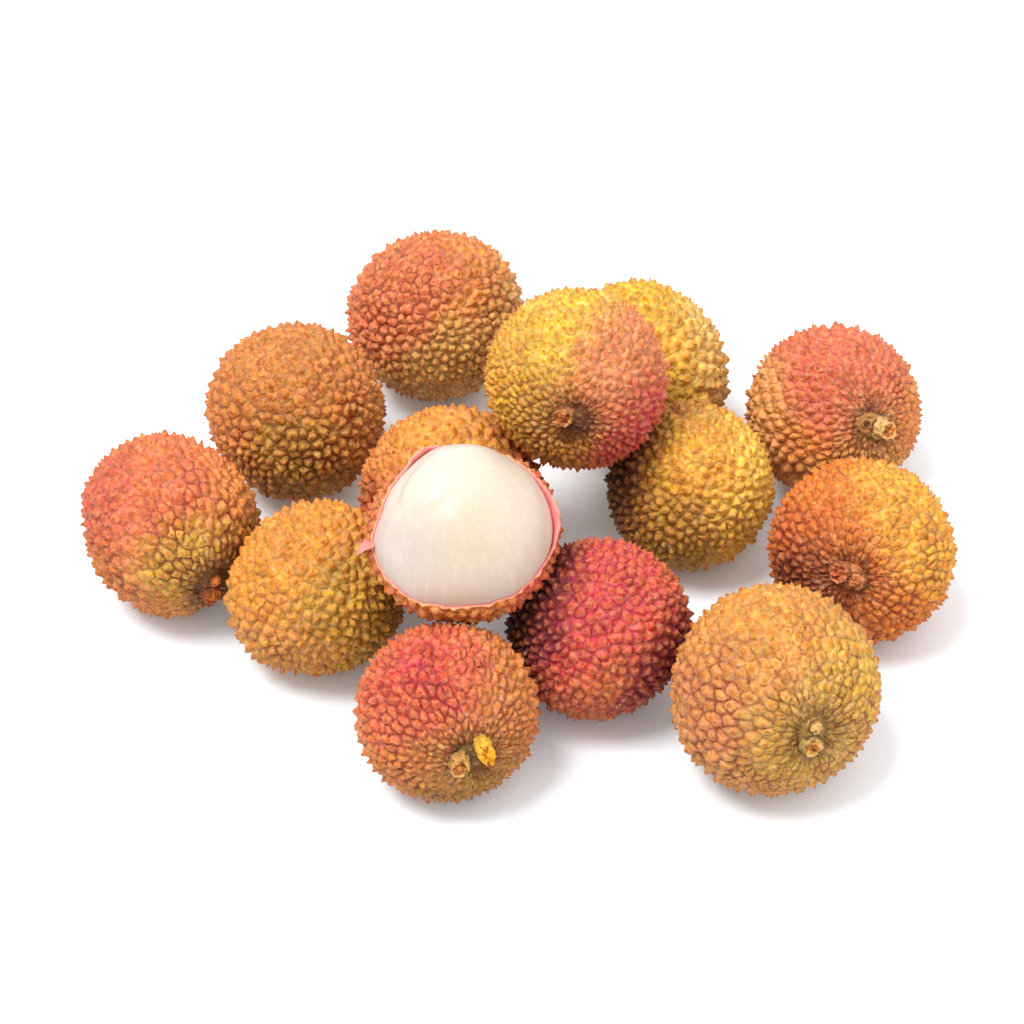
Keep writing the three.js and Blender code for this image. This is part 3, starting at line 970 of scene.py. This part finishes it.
UNEVEN = {  # millimetres of swelling on one side, and the side as seen from the front
    "01": [(0.9, (-0.5, 0.85, 0.1)), (-0.9, (-0.85, -0.5, 0.1))],
    "02": [(0.8, (-0.9, 0.4, 0.1))],
    "03": [(-0.5, (-0.6, 0.8, 0.1)), (0.4, (0.8, 0.5, 0.1))],
    "04": [(1.3, (-0.9, -0.45, 0.1))],
    "07": [(-0.7, (0.85, 0.5, 0.1))],
    "11": [(-0.8, (0.75, -0.65, 0.1)), (0.5, (-0.7, -0.7, 0.1))],
    "13": [(0.4, (-0.7, -0.7, 0.1))],
}


def made_uneven(points, number):
    directions = unit(points)
    for swelling, side in UNEVEN.get(number, []):
        points = points + directions * (swelling * smooth(directions @ seen(*side), 0.6, 1))[:, None]
    return points


print("not quite round:", *UNEVEN)


# %% Whole fruit
def whole_fruit(number):
    fruit, look = fruits[number], RIPENESS_AND_SHADE[number]
    rng = np.random.default_rng(int(number))
    directions, height, lean, marks = paved_relief(ball, rng, look)
    surface = fruit_surface(directions, fruit)
    skin = made_uneven(with_relief(surface, ball_triangles, height, lean) @ fruit["axes"], number)
    points = kept_apart(skin + fruit["centre"], number) - fruit["centre"]
    peel = peel_material(f"peel {number}", look, int(number), fruit["axes"])
    return make_piece(
        f"ripe_lychee_{number}", points, ball_triangles, [peel], f"lychee_{number}",
        fruit["centre"], marks)


for number in WHOLE_FRUITS:
    piece = whole_fruit(number)
print("last fruit:", piece.name, [round(size / MM, 1) for size in piece.dimensions], "mm")

# %% [markdown]
# ## Stalk stubs
#
# In the pit at the top of a lychee sits what is left of its stalk: a low wrinkled collar, the
# broken stub, and beside it the nub of the second seed chamber that never grew. The stub is a
# short tube of fibres with a pale rim and a rough, darker core. Each of the three is a closed
# shell of rings; a crumbly nub only has more noise on it than a firm one.

# %% Closed shells from rings
def ringed_shell(rings):
    """Points and outward triangles of a shell of rings, closed by a point at each end."""
    rows, around = rings.shape[:2]
    points = np.concatenate([rings.reshape(-1, 3), [rings[0].mean(axis=0), rings[-1].mean(axis=0)]])
    here = np.arange(rows * around).reshape(rows, around)
    beside = np.roll(here, -1, axis=1)
    low, low_beside = here[:-1].ravel(), beside[:-1].ravel()
    high, high_beside = here[1:].ravel(), beside[1:].ravel()
    foot, top = np.full(around, rows * around), np.full(around, rows * around + 1)
    return points, np.concatenate([
        np.column_stack([foot, beside[0], here[0]]),
        np.column_stack([low, low_beside, high_beside]),
        np.column_stack([low, high_beside, high]),
        np.column_stack([top, here[-1], beside[-1]]),
    ])


def oval_rings(turn, across, aside, level):
    """Rings of points with these half axes, at these heights."""
    return np.stack([across * np.cos(turn), aside * np.sin(turn), level[:, None] + 0 * turn], axis=2)


def on_rings(values, around, ends):
    """One value a ring, spread over its points, and a value for each of the two end points."""
    return np.append(np.repeat(values, around), ends)


def noise_at(points, size):
    """Cloudy noise, about -1 to 1, at points in millimetres, with clouds of that size."""
    return np.array([noise.noise(Vector(place)) for place in points / size])


# %% Stub and nub
STUB_RADIUS, STUB_LENGTH, STUB_LEAN_OUT = 1.9, 2.6, 1.0
NUB_RADIUS, NUB_LENGTH = 1.3, 1.5
STUB_ROWS, STUB_AROUND = ((26, 40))


def stalk_shell(foot, radius, length, lean, rough, domed, seed, wide=1.0):
    """A leaning stub: its points, triangles and marks. `domed` lifts the middle of its end."""
    up = np.linspace(0, 1, STUB_ROWS)
    inward = np.linspace(1, 0.12, STUB_ROWS // 2)[1:]
    turn = np.linspace(0, 2 * math.pi, STUB_AROUND, endpoint=False)
    flared_foot, waist, worn_edge = np.exp(-((up / 0.18) ** 2)), np.sin(math.pi * up), up**6
    side = 1 + 0.3 * flared_foot - 0.1 * waist - 0.06 * worn_edge
    share = np.concatenate([side, side[-1] * inward])
    dish = domed * (1 - inward**2) - 0.12 * (1 - domed) * smooth(1 - inward, 0.08, 0.35)
    level = np.concatenate([up * length, length + dish * radius * 0.8])
    sway = np.concatenate([up**1.3, np.ones(len(inward))]) * lean
    ribs = 1 + 0.05 * np.sin(7 * turn + seed) + 0.035 * np.sin(16 * turn + 2 * seed)
    reach = radius * share[:, None] * ribs
    rings = oval_rings(turn, reach, reach * wide, level)
    rings[..., 0] += sway[:, None]
    points, triangles = ringed_shell(rings)
    lumps = noise_at(points + 17 * seed, 0.9) + 0.6 * noise_at(points + 31 * seed, 0.45)
    on_end = np.concatenate([np.zeros(STUB_ROWS), smooth(1 - inward, 0.02, 0.1)])
    core = np.concatenate([np.zeros(STUB_ROWS), smooth(1 - inward, 0.12, 0.34)])
    height = np.concatenate([up, np.ones(len(inward))])
    on_end, core, height = [on_rings(each, STUB_AROUND, [0, 1]) for each in (on_end, core, height)]
    crumbled = lumps * (0.12 + rough * (0.5 + core)) * height
    points += outward_normals(points, triangles) * crumbled[:, None]
    points[:, 2] += 0.25 * noise_at(points * [1, 1, 0] + 5 * seed, 1.6) * height
    # The gap mark darkens the stub towards its foot: painted shade where it leaves the collar.
    marks = {"cut": on_end, "core": core, "lump": lumps, "collar": np.zeros(len(points)),
             "gap": np.exp(-points[:, 2] / 0.35)}
    return points + foot, triangles, marks


# %% Collar
COLLAR_MARGIN = 1.15


def collar_shell(spacing, nub_radius, seed):
    """The wrinkled mound round stub and nub, with painted shade in the gap where each leaves it."""
    rows, around = STUB_ROWS, 2 * STUB_AROUND
    turn = np.linspace(0, 2 * math.pi, around, endpoint=False)
    share = np.linspace(1.12, 0.04, rows)
    wide, narrow = spacing / 2 + STUB_RADIUS * COLLAR_MARGIN, STUB_RADIUS * COLLAR_MARGIN
    level = 0.85 * (1 - share**2) - 0.75 * smooth(share, 0.75, 1.12)
    rings = oval_rings(turn, wide * share[:, None], narrow * 1.15 * share[:, None], level)
    points, triangles = ringed_shell(rings)
    from_stub = np.hypot(points[:, 0] + spacing / 2, points[:, 1]) - STUB_RADIUS
    from_nub = np.hypot(points[:, 0] - spacing / 2, points[:, 1]) - nub_radius
    near = np.minimum(np.abs(from_stub), np.abs(from_nub))
    arcs = np.cos(5.5 * np.minimum(from_stub, from_nub) + 1.2 * noise_at(points + seed, 1.2))
    wrinkle = noise_at(points + 9 * seed, 0.8)
    fine = noise_at(points + 4 * seed, 0.35)
    points[:, 2] += 0.07 * arcs + 0.22 * wrinkle + 0.12 * fine
    # The gap mark is painted shade where stub and nub leave the collar; the gap also sinks a little.
    gap = np.exp(-((near / 0.24) ** 2))
    points[:, 2] -= 0.2 * gap
    marks = {"cut": np.zeros(len(points)), "core": np.zeros(len(points)), "lump": wrinkle + fine,
             "collar": np.ones(len(points)), "gap": gap}
    return points, triangles, marks


def joined(shells):
    """Several shells as one: points, triangles and marks."""
    starts = np.cumsum([0] + [len(points) for points, _, _ in shells[:-1]])
    return (
        np.concatenate([points for points, _, _ in shells]),
        np.concatenate([triangles + start for (_, triangles, _), start in zip(shells, starts)]),
        {mark: np.concatenate([marks[mark] for _, _, marks in shells]) for mark in shells[0][2]},
    )


# %% [markdown]
# ## The finish of a stalk
#
# Old bark is streaked along its fibres, the cut face has a pale rim and a darker, crumbling core,
# and the collar is dull skin with dark cracks. Painted shade darkens the hollows between lumps and
# the gaps where stub and nub leave the collar, and the tops of the collar's lumps are painted
# lighter. The shells carry marks for all of these, so one node group colours stub, nub and
# collar, and each fruit only names its own colours.

# %% Stalk finish
FIBRES = 1700.0  # per metre
CRUMBS = 1300.0
# Dark colour for the pores, and painted shade for gaps and hollows.
CRACK_AND_SHADE_BROWN = colour(44, 26, 18)

stalk_colour, given, result = new_group(
    "stalk colour",
    {"Place": "Vector", "Bark": "Color", "Rim": "Color", "Core": "Color", "Collar": "Color",
     "Cut Mark": "Float", "Core Mark": "Float", "Lump Mark": "Float", "Collar Mark": "Float",
     "Gap Mark": "Float"},
    {"Color": "Color", "Grain": "Float"},
)
fibre = clouds(given["Place"], FIBRES, Detail=4.0, Roughness=0.7)
crumb = cells(given["Place"], CRUMBS)
streaked = mixed(ramped(fibre, 0.35, 0.65, 0.0, 0.6), given["Bark"], given["Rim"])
faced = mixed(given["Cut Mark"], streaked, given["Rim"])
streak = times(maths("SUBTRACT", fibre, 0.5), 2.4)
patchy_core = ramped(plus(given["Core Mark"], streak), 0.2, 1.0)
core_shows = times(patchy_core, ramped(given["Core Mark"], 0.0, 0.3))
cored = mixed(core_shows, faced, given["Core"])
lit_lump = ramped(given["Lump Mark"], 0.2, 1.0, 0.0, 0.4)
dull_skin = mixed(lit_lump, given["Collar"], given["Rim"])
placed = mixed(given["Collar Mark"], cored, dull_skin)
porous = highest(given["Core Mark"], times(given["Collar Mark"], 0.35))
pores = times(ramped(crumb, 0.5, 0.85), porous, 0.8)
# Painted shade in the low parts of the lumps.
hollow_shade = ramped(given["Lump Mark"], -0.1, -0.8, 0.0, 0.5)
dark = highest(times(given["Gap Mark"], 0.75), pores, hollow_shade)
feed(result, {"Color": mixed(dark, placed, CRACK_AND_SHADE_BROWN), "Grain": maths("SUBTRACT", fibre, crumb)})
print("stalk colour:", len(stalk_colour.nodes), "nodes")

# %% How each stalk looks
TAN_BARK = colour(196, 140, 76)
TAN_RIM = colour(226, 172, 92)
BROWN_COLLAR = colour(150, 88, 50)
# A tiny dark nub, painted as the shaded slit beside the stub of 06 and 09.
SHADED_SLIT_NUB = dict(bark=colour(128, 74, 46), rim=colour(140, 84, 50), core=colour(84, 46, 30), rough=0.3,
                 size=0.4, length=0.25)
# The dark collars of 06, 12 and 13 are painted shade of the hollow round their stalks.
STALKS = {
    "01": dict(bark=colour(134, 68, 42), rim=colour(196, 104, 48), core=colour(226, 128, 48),
               collar=colour(130, 84, 46), rough=0.5, length=0.6),
    "06": dict(bark=colour(172, 100, 58), rim=colour(222, 158, 92), core=colour(198, 104, 52),
               collar=colour(110, 62, 38), rough=0.6, length=0.55, nub=SHADED_SLIT_NUB),
    "09": dict(bark=colour(204, 166, 104), rim=colour(232, 184, 112), core=colour(222, 138, 62),
               collar=colour(172, 118, 66), rough=0.45, length=0.95, nub=SHADED_SLIT_NUB),
    "10": dict(bark=colour(176, 104, 58), rim=colour(214, 134, 84), core=colour(196, 92, 58),
               collar=colour(196, 118, 66), rough=0.55, length=0.5,
               nub=dict(bark=colour(200, 122, 68), rim=colour(206, 128, 74), core=colour(196, 116, 64),
                        rough=0.4, size=1.25, length=0.4)),
    "12": dict(bark=colour(176, 124, 66), rim=colour(226, 170, 94), core=colour(206, 122, 50),
               collar=colour(112, 84, 42), rough=0.35, length=0.85,
               nub=dict(bark=colour(250, 182, 62), rim=colour(252, 190, 60), core=colour(250, 160, 24),
                        rough=0.9, size=1.15, length=1.3, wide=1.7, aside=0.7)),
    "13": dict(bark=colour(190, 150, 84), rim=colour(216, 172, 96), core=colour(222, 146, 62),
               collar=colour(150, 112, 54), rough=0.6, length=0.4,
               nub=dict(bark=colour(200, 138, 70), rim=colour(230, 178, 104), core=colour(224, 164, 88),
                        rough=0.1, size=0.95, length=0.6)),
}
USUAL_STALK = dict(bark=TAN_BARK, rim=TAN_RIM, core=colour(214, 116, 46), collar=BROWN_COLLAR,
                   rough=0.2, length=0.95)
print("stalks with a look of their own:", *STALKS)


# %% One stalk
def stalk_material(name, style):
    material, shader, place = new_material(name)
    finish = use_group(stalk_colour, {
        **stored_marks(shader, ("cut", "core", "lump", "collar", "gap"), " Mark"), "Place": place,
        "Bark": style["bark"], "Rim": style["rim"], "Core": style["core"],
        "Collar": style.get("collar", BROWN_COLLAR)})
    feed(shader, {
        "Base Color": finish["Color"], "Roughness": 0.7, "Specular IOR Level": 0.3,
        "Normal": grain_normal(finish["Grain"], 1.0, 0.35)})
    return material


def stalk_stub(number):
    fruit, style = fruits[number], STALKS.get(number, USUAL_STALK)
    nub_style = style.get("nub", {**style, "rough": 0.1})
    half, seed = fruit["spacing"] / 2, int(number)
    stub = stalk_shell(
        np.array([-half, 0, 0]), STUB_RADIUS, STUB_LENGTH * style.get("length", 1),
        -STUB_LEAN_OUT * style.get("length", 1), style["rough"], 0.0, seed)
    nub = stalk_shell(
        np.array([half, nub_style.get("aside", 0), 0]), NUB_RADIUS * nub_style.get("size", 1),
        NUB_LENGTH * nub_style.get("length", 1), 0.0, nub_style["rough"], 0.8, seed + 50,
        nub_style.get("wide", 1))
    collar = collar_shell(fruit["spacing"], NUB_RADIUS * nub_style.get("size", 1), seed)
    points, triangles, marks = joined([stub, nub, collar])
    points[:, 2] += fruit["foot"]
    kind = np.zeros(len(triangles), dtype=int)
    kind[len(stub[1]):len(stub[1]) + len(nub[1])] = 1
    return make_piece(
        f"stalk_stub_{number}", points @ fruit["axes"], triangles,
        [stalk_material(f"stalk {number}", style), stalk_material(f"nub {number}", nub_style)],
        f"stem_{number}", fruit["centre"], marks, kind)


for number in WHOLE_FRUITS:
    piece = stalk_stub(number)
print("last stub:", piece.name, len(piece.data.polygons), "triangles")

# %% [markdown]
# ## The peeled fruit's own frame
#
# The white flesh and the cup of peel round it are both turned about one axis. The flesh tells us
# that axis, its middle and its size; the cup leaves a slit round it. Both are drawn in a little
# between waist and ends, which makes them rounder shouldered than a plain ellipsoid.

# %% Peeled fruit frame
FLESH_TOP, FLESH_NARROWING = 0.99, 0.03
CUP_BOTTOM, CUP_NARROWING = 0.95, 0.055

flesh_ends = axis_ends("aril")
flesh_axis = unit(flesh_ends[1] - flesh_ends[0])
flesh_axis = flesh_axis * np.sign(flesh_axis[2])
flesh_side = unit(np.array([1.0, 0, 0]) - flesh_axis[0] * flesh_axis)
peeled_axes = np.array([flesh_side, np.cross(flesh_axis, flesh_side), flesh_axis])
flesh_length = np.linalg.norm(flesh_ends[1] - flesh_ends[0])
FLESH_RADIUS = flesh_length / (FLESH_TOP + CUP_BOTTOM)
peeled_centre = flesh_ends[flesh_ends[:, 2].argmax()] - FLESH_TOP * FLESH_RADIUS * flesh_axis


def peeled_point(radius, latitude, azimuth):
    above = latitude > 0
    flatness = np.where(above, FLESH_TOP, CUP_BOTTOM)
    narrowing = np.where(above, FLESH_NARROWING, CUP_NARROWING)
    drawn_in = radius * (1 - narrowing * np.sin(2 * latitude) ** 2)
    across = drawn_in * np.cos(latitude)
    return np.stack([
        across * np.cos(azimuth), across * np.sin(azimuth), drawn_in * flatness * np.sin(latitude)
    ], axis=-1)


def own_direction(right, up, near):
    """A direction as seen from the front, in the peeled fruit's own frame."""
    return peeled_axes @ np.array(seen(right, up, near))


print("flesh radius", round(FLESH_RADIUS, 2), "mm, centre", np.round(peeled_centre, 1))

# %% [markdown]
# ## Moist flesh
#
# The flesh is a smooth, slightly lumpy dome of translucent jelly. Light enters it and comes out
# again a millimetre or two away, which is what subsurface scattering does. It is whitest where
# it is thick, and turns creamy and then pinkish towards the peel. Fine fibres run from the stem
# end to the tip.

# %% Flesh
FLESH_ROWS = 32
FLESH_SWELL = 0.3
FLATTENED = [  # side as seen from the front, and millimetres drawn in
    ((-0.85, 0.53, 0.1), 1.5), ((0.86, 0.5, 0.1), 0.6), ((0.1, 1.0, 0.05), 0.6)]
LOBE_SIDE, LOBE_HEIGHT, LOBE_EDGE = (-0.42, 0.53, 0.74), 0.5, (0.92, 0.97)
LUMPS_HEIGHT, LUMPS_PACE = 0.06, 3.5


def pressed_in(points):
    """Points of the peeled fruit, drawn in where it is flatter than a ball."""
    directions = unit(points)
    depth = sum(
        deep * smooth(directions @ own_direction(*side), 0.7, 0.98) for side, deep in FLATTENED)
    return points - directions * (depth * smooth(directions[:, 2], -0.1, 0.3))[:, None]


flesh_ball, flesh_triangles = even_ball(FLESH_ROWS)
latitude = np.arcsin(np.clip(flesh_ball[:, 2], -1, 1))
azimuth = np.arctan2(flesh_ball[:, 1], flesh_ball[:, 0])
flesh = pressed_in(peeled_point(FLESH_RADIUS + FLESH_SWELL, latitude, azimuth))
lobe = smooth(flesh_ball @ own_direction(*LOBE_SIDE), *LOBE_EDGE)
lumps = slow_waves(flesh_ball, np.random.default_rng(40), pace=LUMPS_PACE)
flesh += flesh_ball * (LOBE_HEIGHT * lobe + LUMPS_HEIGHT * lumps)[:, None]
print("flesh:", [round(size, 1) for size in np.ptp(flesh, axis=0)], "mm")

# %% Flesh finish
material, shader, place = new_material("moist flesh")
FIBRE_STRETCH = (1.0, 1.0, 0.1)  # ten times as long as they are wide
fibres = clouds(vector_maths("MULTIPLY", place, FIBRE_STRETCH), 900.0, Detail=3.0)
FLESH_LAYERS = [  # colour, side as seen from the front, reach in degrees, softness
    (colour(194, 180, 170), (-0.9, -0.1, 0.4), 52, 0.25),
    (colour(206, 186, 170), (0.0, -1.0, 0.25), 46, 0.3),
    (colour(210, 194, 178), (0.95, 0.0, 0.3), 46, 0.25),
    (colour(200, 192, 178), (-0.3, 0.8, 0.5), 46, 0.2),
]
tint = colour(200, 184, 162)
for layer, (layer_colour, side, reach, softness) in enumerate(FLESH_LAYERS):
    mask = patch_mask(place, seen(*side), reach, softness, 0.25, 60.0 + layer)
    tint = mixed(mask, tint, layer_colour)
streaks = ramped(fibres, 0.45, 0.75, 0.0, 0.1)
feed(shader, {
    "Base Color": mixed(streaks, tint, colour(254, 250, 246)), "Subsurface Weight": 0.7,
    "Subsurface Radius": (1.0, 0.6, 0.4), "Subsurface Scale": 2.5 * MM, "Roughness": 0.32,
    "Specular IOR Level": 0.35, "Normal": grain_normal(fibres, 0.25, 0.1)})
make_piece("flesh", flesh @ peeled_axes, flesh_triangles, [material], "aril", peeled_centre)
print("flesh:", len(flesh_triangles), "triangles")

# %% [markdown]
# ## The torn cup of peel
#
# The cup is one closed skin: pimpled outside from the bottom up to the torn rim, over the rim,
# and down again inside as a smooth pink membrane. Rows of points run along circles whose height
# follows the tear. The tear is high behind and low in front, as the plain cup says, with ragged
# teeth added. Where the peel has come loose it bends outwards and shows its lining. A small
# flap of that lining hangs over the edge on the left.

# %% Torn rim
CUP_GAP, CUP_THICKNESS = 0.5, 0.7
RIM_HEIGHT = 3.4
RIM_WAVES = [(3.5, 117), (0.9, -125), (1.4, 92)]  # size and phase of one wave round, two, three
RIM_NOTCHES = [(3.4, 76, 36), (1.8, -90, 42)]  # millimetres deep, azimuth, half width
FLARES = [(1.25, 6, 20), (0.85, 120, 14)]  # millimetres, azimuth, half width
FLARE_DEPTH = 1.7
RIM_RADIUS = 17.5
CUP_AROUND, CUP_ROWS, LINING_ROWS = ((352, 88, 27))

rng = np.random.default_rng(14)
turn = np.linspace(0, 2 * math.pi, CUP_AROUND, endpoint=False)


def degrees_from(azimuth):
    return (np.degrees(turn) - azimuth + 180) % 360 - 180


rim = RIM_HEIGHT + sum(
    size * np.cos((wave + 1) * turn - math.radians(phase))
    for wave, (size, phase) in enumerate(RIM_WAVES))
for deep, middle, width in RIM_NOTCHES:
    rim -= deep * np.exp(-((degrees_from(middle) / width) ** 4))
round_rim = RIM_RADIUS * np.column_stack([np.cos(turn), np.sin(turn), 0 * turn])
rim += 0.7 * noise_at(round_rim, 2.6) + 0.3 * noise_at(round_rim + 7, 0.8)
flare = sum(size * np.exp(-((degrees_from(middle) / width) ** 2)) for size, middle, width in FLARES)
flare *= 1 + 0.08 * np.sin(9 * turn + 1.0) + 0.06 * np.sin(23 * turn)
print("torn rim between", round(rim.min(), 1), "and", round(rim.max(), 1), "mm above the waist")


# %% Rings of the cup
LIP_DRAWN_IN, LINING_GAP = 0.6, 0.25


def cup_rings(radius, shares, lift, thin=0.0):
    """Rings from the bottom (share 0) to the torn rim (share 1), bent outwards near the rim."""
    top = np.arcsin((rim + lift) / radius)
    latitude = shares[:, None] * (math.pi / 2 + top) - math.pi / 2
    azimuth = np.broadcast_to(turn, latitude.shape)
    below = (math.pi / 2 + top) * (1 - shares[:, None]) * radius
    rings = peeled_point(radius, latitude, azimuth)
    bend = flare * np.clip(1 - below / FLARE_DEPTH, 0, 1) ** 1.6 - thin * np.exp(-((below / 1.2) ** 2))
    rings[..., 0] += bend * np.cos(turn)
    rings[..., 1] += bend * np.sin(turn)
    return pressed_in(rings.reshape(-1, 3)).reshape(rings.shape)


outer_radius = FLESH_RADIUS + CUP_GAP + CUP_THICKNESS
outside = cup_rings(outer_radius, np.linspace(0.012, 1, CUP_ROWS), -0.1, thin=LIP_DRAWN_IN)
lip = cup_rings(outer_radius - LIP_DRAWN_IN, np.ones(1), 0.1)
lining = cup_rings(FLESH_RADIUS + LINING_GAP, np.linspace(1, 0.02, LINING_ROWS), 0.1)
rings = np.concatenate([outside, lip, lining])
cup, cup_triangles = ringed_shell(rings)
print("cup:", len(cup_triangles), "triangles")

# %% How the cup and the flap look
CUP_LOOK = dict(
    ground=colour(222, 140, 84), tip=ORANGE_TIP, groove=PURPLE_GROOVE_SHADE,
    stones=820, sharp=0.4, relief=0.95, lit_top=0.3, patches=[
        (colour(218, 112, 86), (0.9, -0.1, 0.4), 66), (colour(222, 150, 74), (-0.1, -0.8, 0.5), 30)])
FLAP_ROOT = math.radians(-168)
FLAP_LENGTH, FLAP_WIDTH, FLAP_THICKNESS = 3.1, 4.6, 0.3
FLAP_TOWARDS = np.array([-0.65, -0.52, -0.53])

# %% Pimples on the cup
LIP_STRENGTH, SKIN_LIFT = 0.3, 0.15

directions = unit(cup)
_, height, lean, marks = paved_relief(directions, rng, CUP_LOOK, crowding=0.0, crisp=False)
outside_strength = 1 - 0.65 * smooth(np.linspace(0, 1, CUP_ROWS), 1 - 2.2 / CUP_ROWS, 1)
strength = on_rings(
    np.concatenate([outside_strength, [LIP_STRENGTH], np.zeros(LINING_ROWS)]), CUP_AROUND, [1, 0])
normals = outward_normals(cup, cup_triangles)
cup = cup + normals * (height * strength)[:, None] + lean * strength[:, None]
cup[:CUP_ROWS * CUP_AROUND] += SKIN_LIFT * normals[:CUP_ROWS * CUP_AROUND]
row = on_rings(np.arange(len(rings)), CUP_AROUND, [0, len(rings) - 1])[cup_triangles]
kinds = np.where(row.min(axis=1) >= CUP_ROWS, 2, np.where(row.max(axis=1) >= CUP_ROWS, 1, 0))
print((kinds == 0).sum(), "triangles of peel,", (kinds == 2).sum(), "of lining")

# %% Flap of loose lining
root = cup_rings(outer_radius - 0.2, np.ones(1), -0.5)[0]
at_root = root[int(round((FLAP_ROOT % (2 * math.pi)) / (2 * math.pi) * CUP_AROUND)) % CUP_AROUND]
along = peeled_axes @ unit(FLAP_TOWARDS)
across = unit(np.array([-math.sin(FLAP_ROOT), math.cos(FLAP_ROOT), 0.0]) + [0, 0, 0.5])
across = unit(across - (across @ along) * along)
through = np.cross(along, across)
flap_rings = []
for share in np.linspace(-0.25, 1, 14):
    taper = (1 - max(share, 0)) ** 0.8 + 0.05
    middle = at_root + along * share * FLAP_LENGTH + through * 0.5 * math.sin(2.6 * share)
    ring_turn = np.linspace(0, 2 * math.pi, 24, endpoint=False)
    half_wide = FLAP_WIDTH / 2 * taper * (1 + 0.12 * np.sin(5 * share + 3 * ring_turn))
    flap_rings.append(middle + np.outer(half_wide * np.cos(ring_turn), across) + np.outer(
        FLAP_THICKNESS / 2 * np.sin(ring_turn), through))
flap, flap_triangles = ringed_shell(np.array(flap_rings))
print("flap:", len(flap_triangles), "triangles")

# %% Cup and flap joined, with how deep inside each point lies
ring_depth = np.concatenate([np.zeros(CUP_ROWS + 1), np.linspace(0, 1, LINING_ROWS)])
marks["depth"] = on_rings(ring_depth, CUP_AROUND, [0, 1])
flap_marks = {mark: np.zeros(len(flap)) for mark in marks}
points, triangles, marks = joined([(cup, cup_triangles, marks), (flap, flap_triangles, flap_marks)])
kinds = np.append(kinds, np.full(len(flap_triangles), 2))
points = kept_apart(points @ peeled_axes + peeled_centre, "peeled") - peeled_centre
print("cup and flap:", len(points), "points")

# %% [markdown]
# ## The lining's finish
#
# Fresh lining is smooth and pink, and the torn edge shows the paler flesh of the peel itself. Both
# are the same thin tissue, so they share one material with different colours, paler at the rim
# and redder down inside.

# %% Lining
def lining_material(name, edge, deep):
    """Smooth tissue, paler at the rim and redder down inside."""
    material, shader, place = new_material(name)
    cloud = clouds(place, 700.0, Detail=3.0)
    depth = plus(stored_marks(shader, ["depth"])["Depth"], times(cloud, 0.05))
    feed(shader, {
        "Base Color": mixed(ramped(depth, 0.03, 0.14), edge, deep), "Roughness": 0.4,
        "Specular IOR Level": 0.3, "Normal": grain_normal(cloud, 0.4, 0.1)})
    return material


make_piece(
    "torn_peel", points, triangles,
    [peel_material("torn peel", CUP_LOOK, 14, peeled_axes),
     lining_material("torn edge", colour(232, 160, 118), colour(226, 140, 106)),
     lining_material("peel lining", colour(236, 128, 122), colour(212, 84, 90))],
    "peel_cup", peeled_centre, marks, kinds)
print("torn peel:", len(triangles), "triangles")

# %% [markdown]
# ## White paper to lie on
#
# The fruits lie on a large sheet of white paper. It has to stay white as far as one sees, yet keep
# the soft shadows. So only what the eye sees of it, straight or in a gleam, has a faint glow, and
# the light that it throws on the fruits has none. The room behind is treated the same way.

# %% Rays that come from the eye
def seen_directly(tree):
    """1 for rays from the camera, straight or by way of a gleam, and 0 for soft light."""
    ray = add_node(tree, "LightPath").outputs
    return highest(ray["Is Camera Ray"], ray["Is Glossy Ray"], ray["Is Transmission Ray"])


# %% Floor
FLOOR_HALF = 5  # metres
PAPER_GLOW = 0.08

floor_mesh = bpy.data.meshes.new("floor")
corners = [(FLOOR_HALF * x, FLOOR_HALF * y, 0) for x, y in ((-1, -1), (1, -1), (1, 1), (-1, 1))]
floor_mesh.from_pydata(corners, [], [(0, 1, 2, 3)])
floor = new_object("floor", floor_mesh)
paper, shader, _ = new_material("white paper")
feed(shader, {
    "Base Color": (0.82, 0.86, 0.9, 1), "Roughness": 0.9, "Specular IOR Level": 0.1,
    "Emission Color": (1, 1, 1, 1),
    "Emission Strength": times(seen_directly(shader.id_data), PAPER_GLOW)})
floor_mesh.materials.append(paper)
print("floor:", 2 * FLOOR_HALF, "m wide")

# %% [markdown]
# ## Daylight from a large window
#
# A big window above and to the left gives the main light, and a white wall on the right throws
# some of it back. Wide suns make shadows as soft as these, and their light doesn't depend on the
# distance. The room is brightest overhead, which darkens the gaps between the fruits.

# %% Light
def add_sun(name, towards, strength, spread):
    """A sun in the direction `towards`, as wide in the sky as `spread` degrees."""
    lamp = bpy.data.lights.new(name, "SUN")
    lamp.energy = strength
    lamp.angle = math.radians(spread)
    sun = new_object(name, lamp)
    sun.rotation_mode = "QUATERNION"
    sun.rotation_quaternion = Vector(towards).to_track_quat("Z", "Y")


add_sun("window", (-0.36, -0.12, 0.92), 2.8, 26)
add_sun("white wall", (0.6, -0.15, 0.78), 0.75, 70)
world = bpy.data.worlds.new("room")
bpy.context.scene.world = world
world.use_nodes = True
tree = world.node_tree
direction = add_node(tree, "TexCoord").outputs["Generated"]
overhead = add_beside("SeparateXYZ", {0: direction}).outputs["Z"]
room_light = ramped(overhead, 0.0, 0.6, 0.12, 1.1)
strength = add_beside("Mix", {0: seen_directly(tree), 2: room_light, 3: 1.0}, data_type="FLOAT")
feed(tree.nodes["Background"], {"Color": (1, 1, 1, 1), "Strength": strength.outputs[0]})
bpy.context.scene.view_settings.view_transform = "Standard"
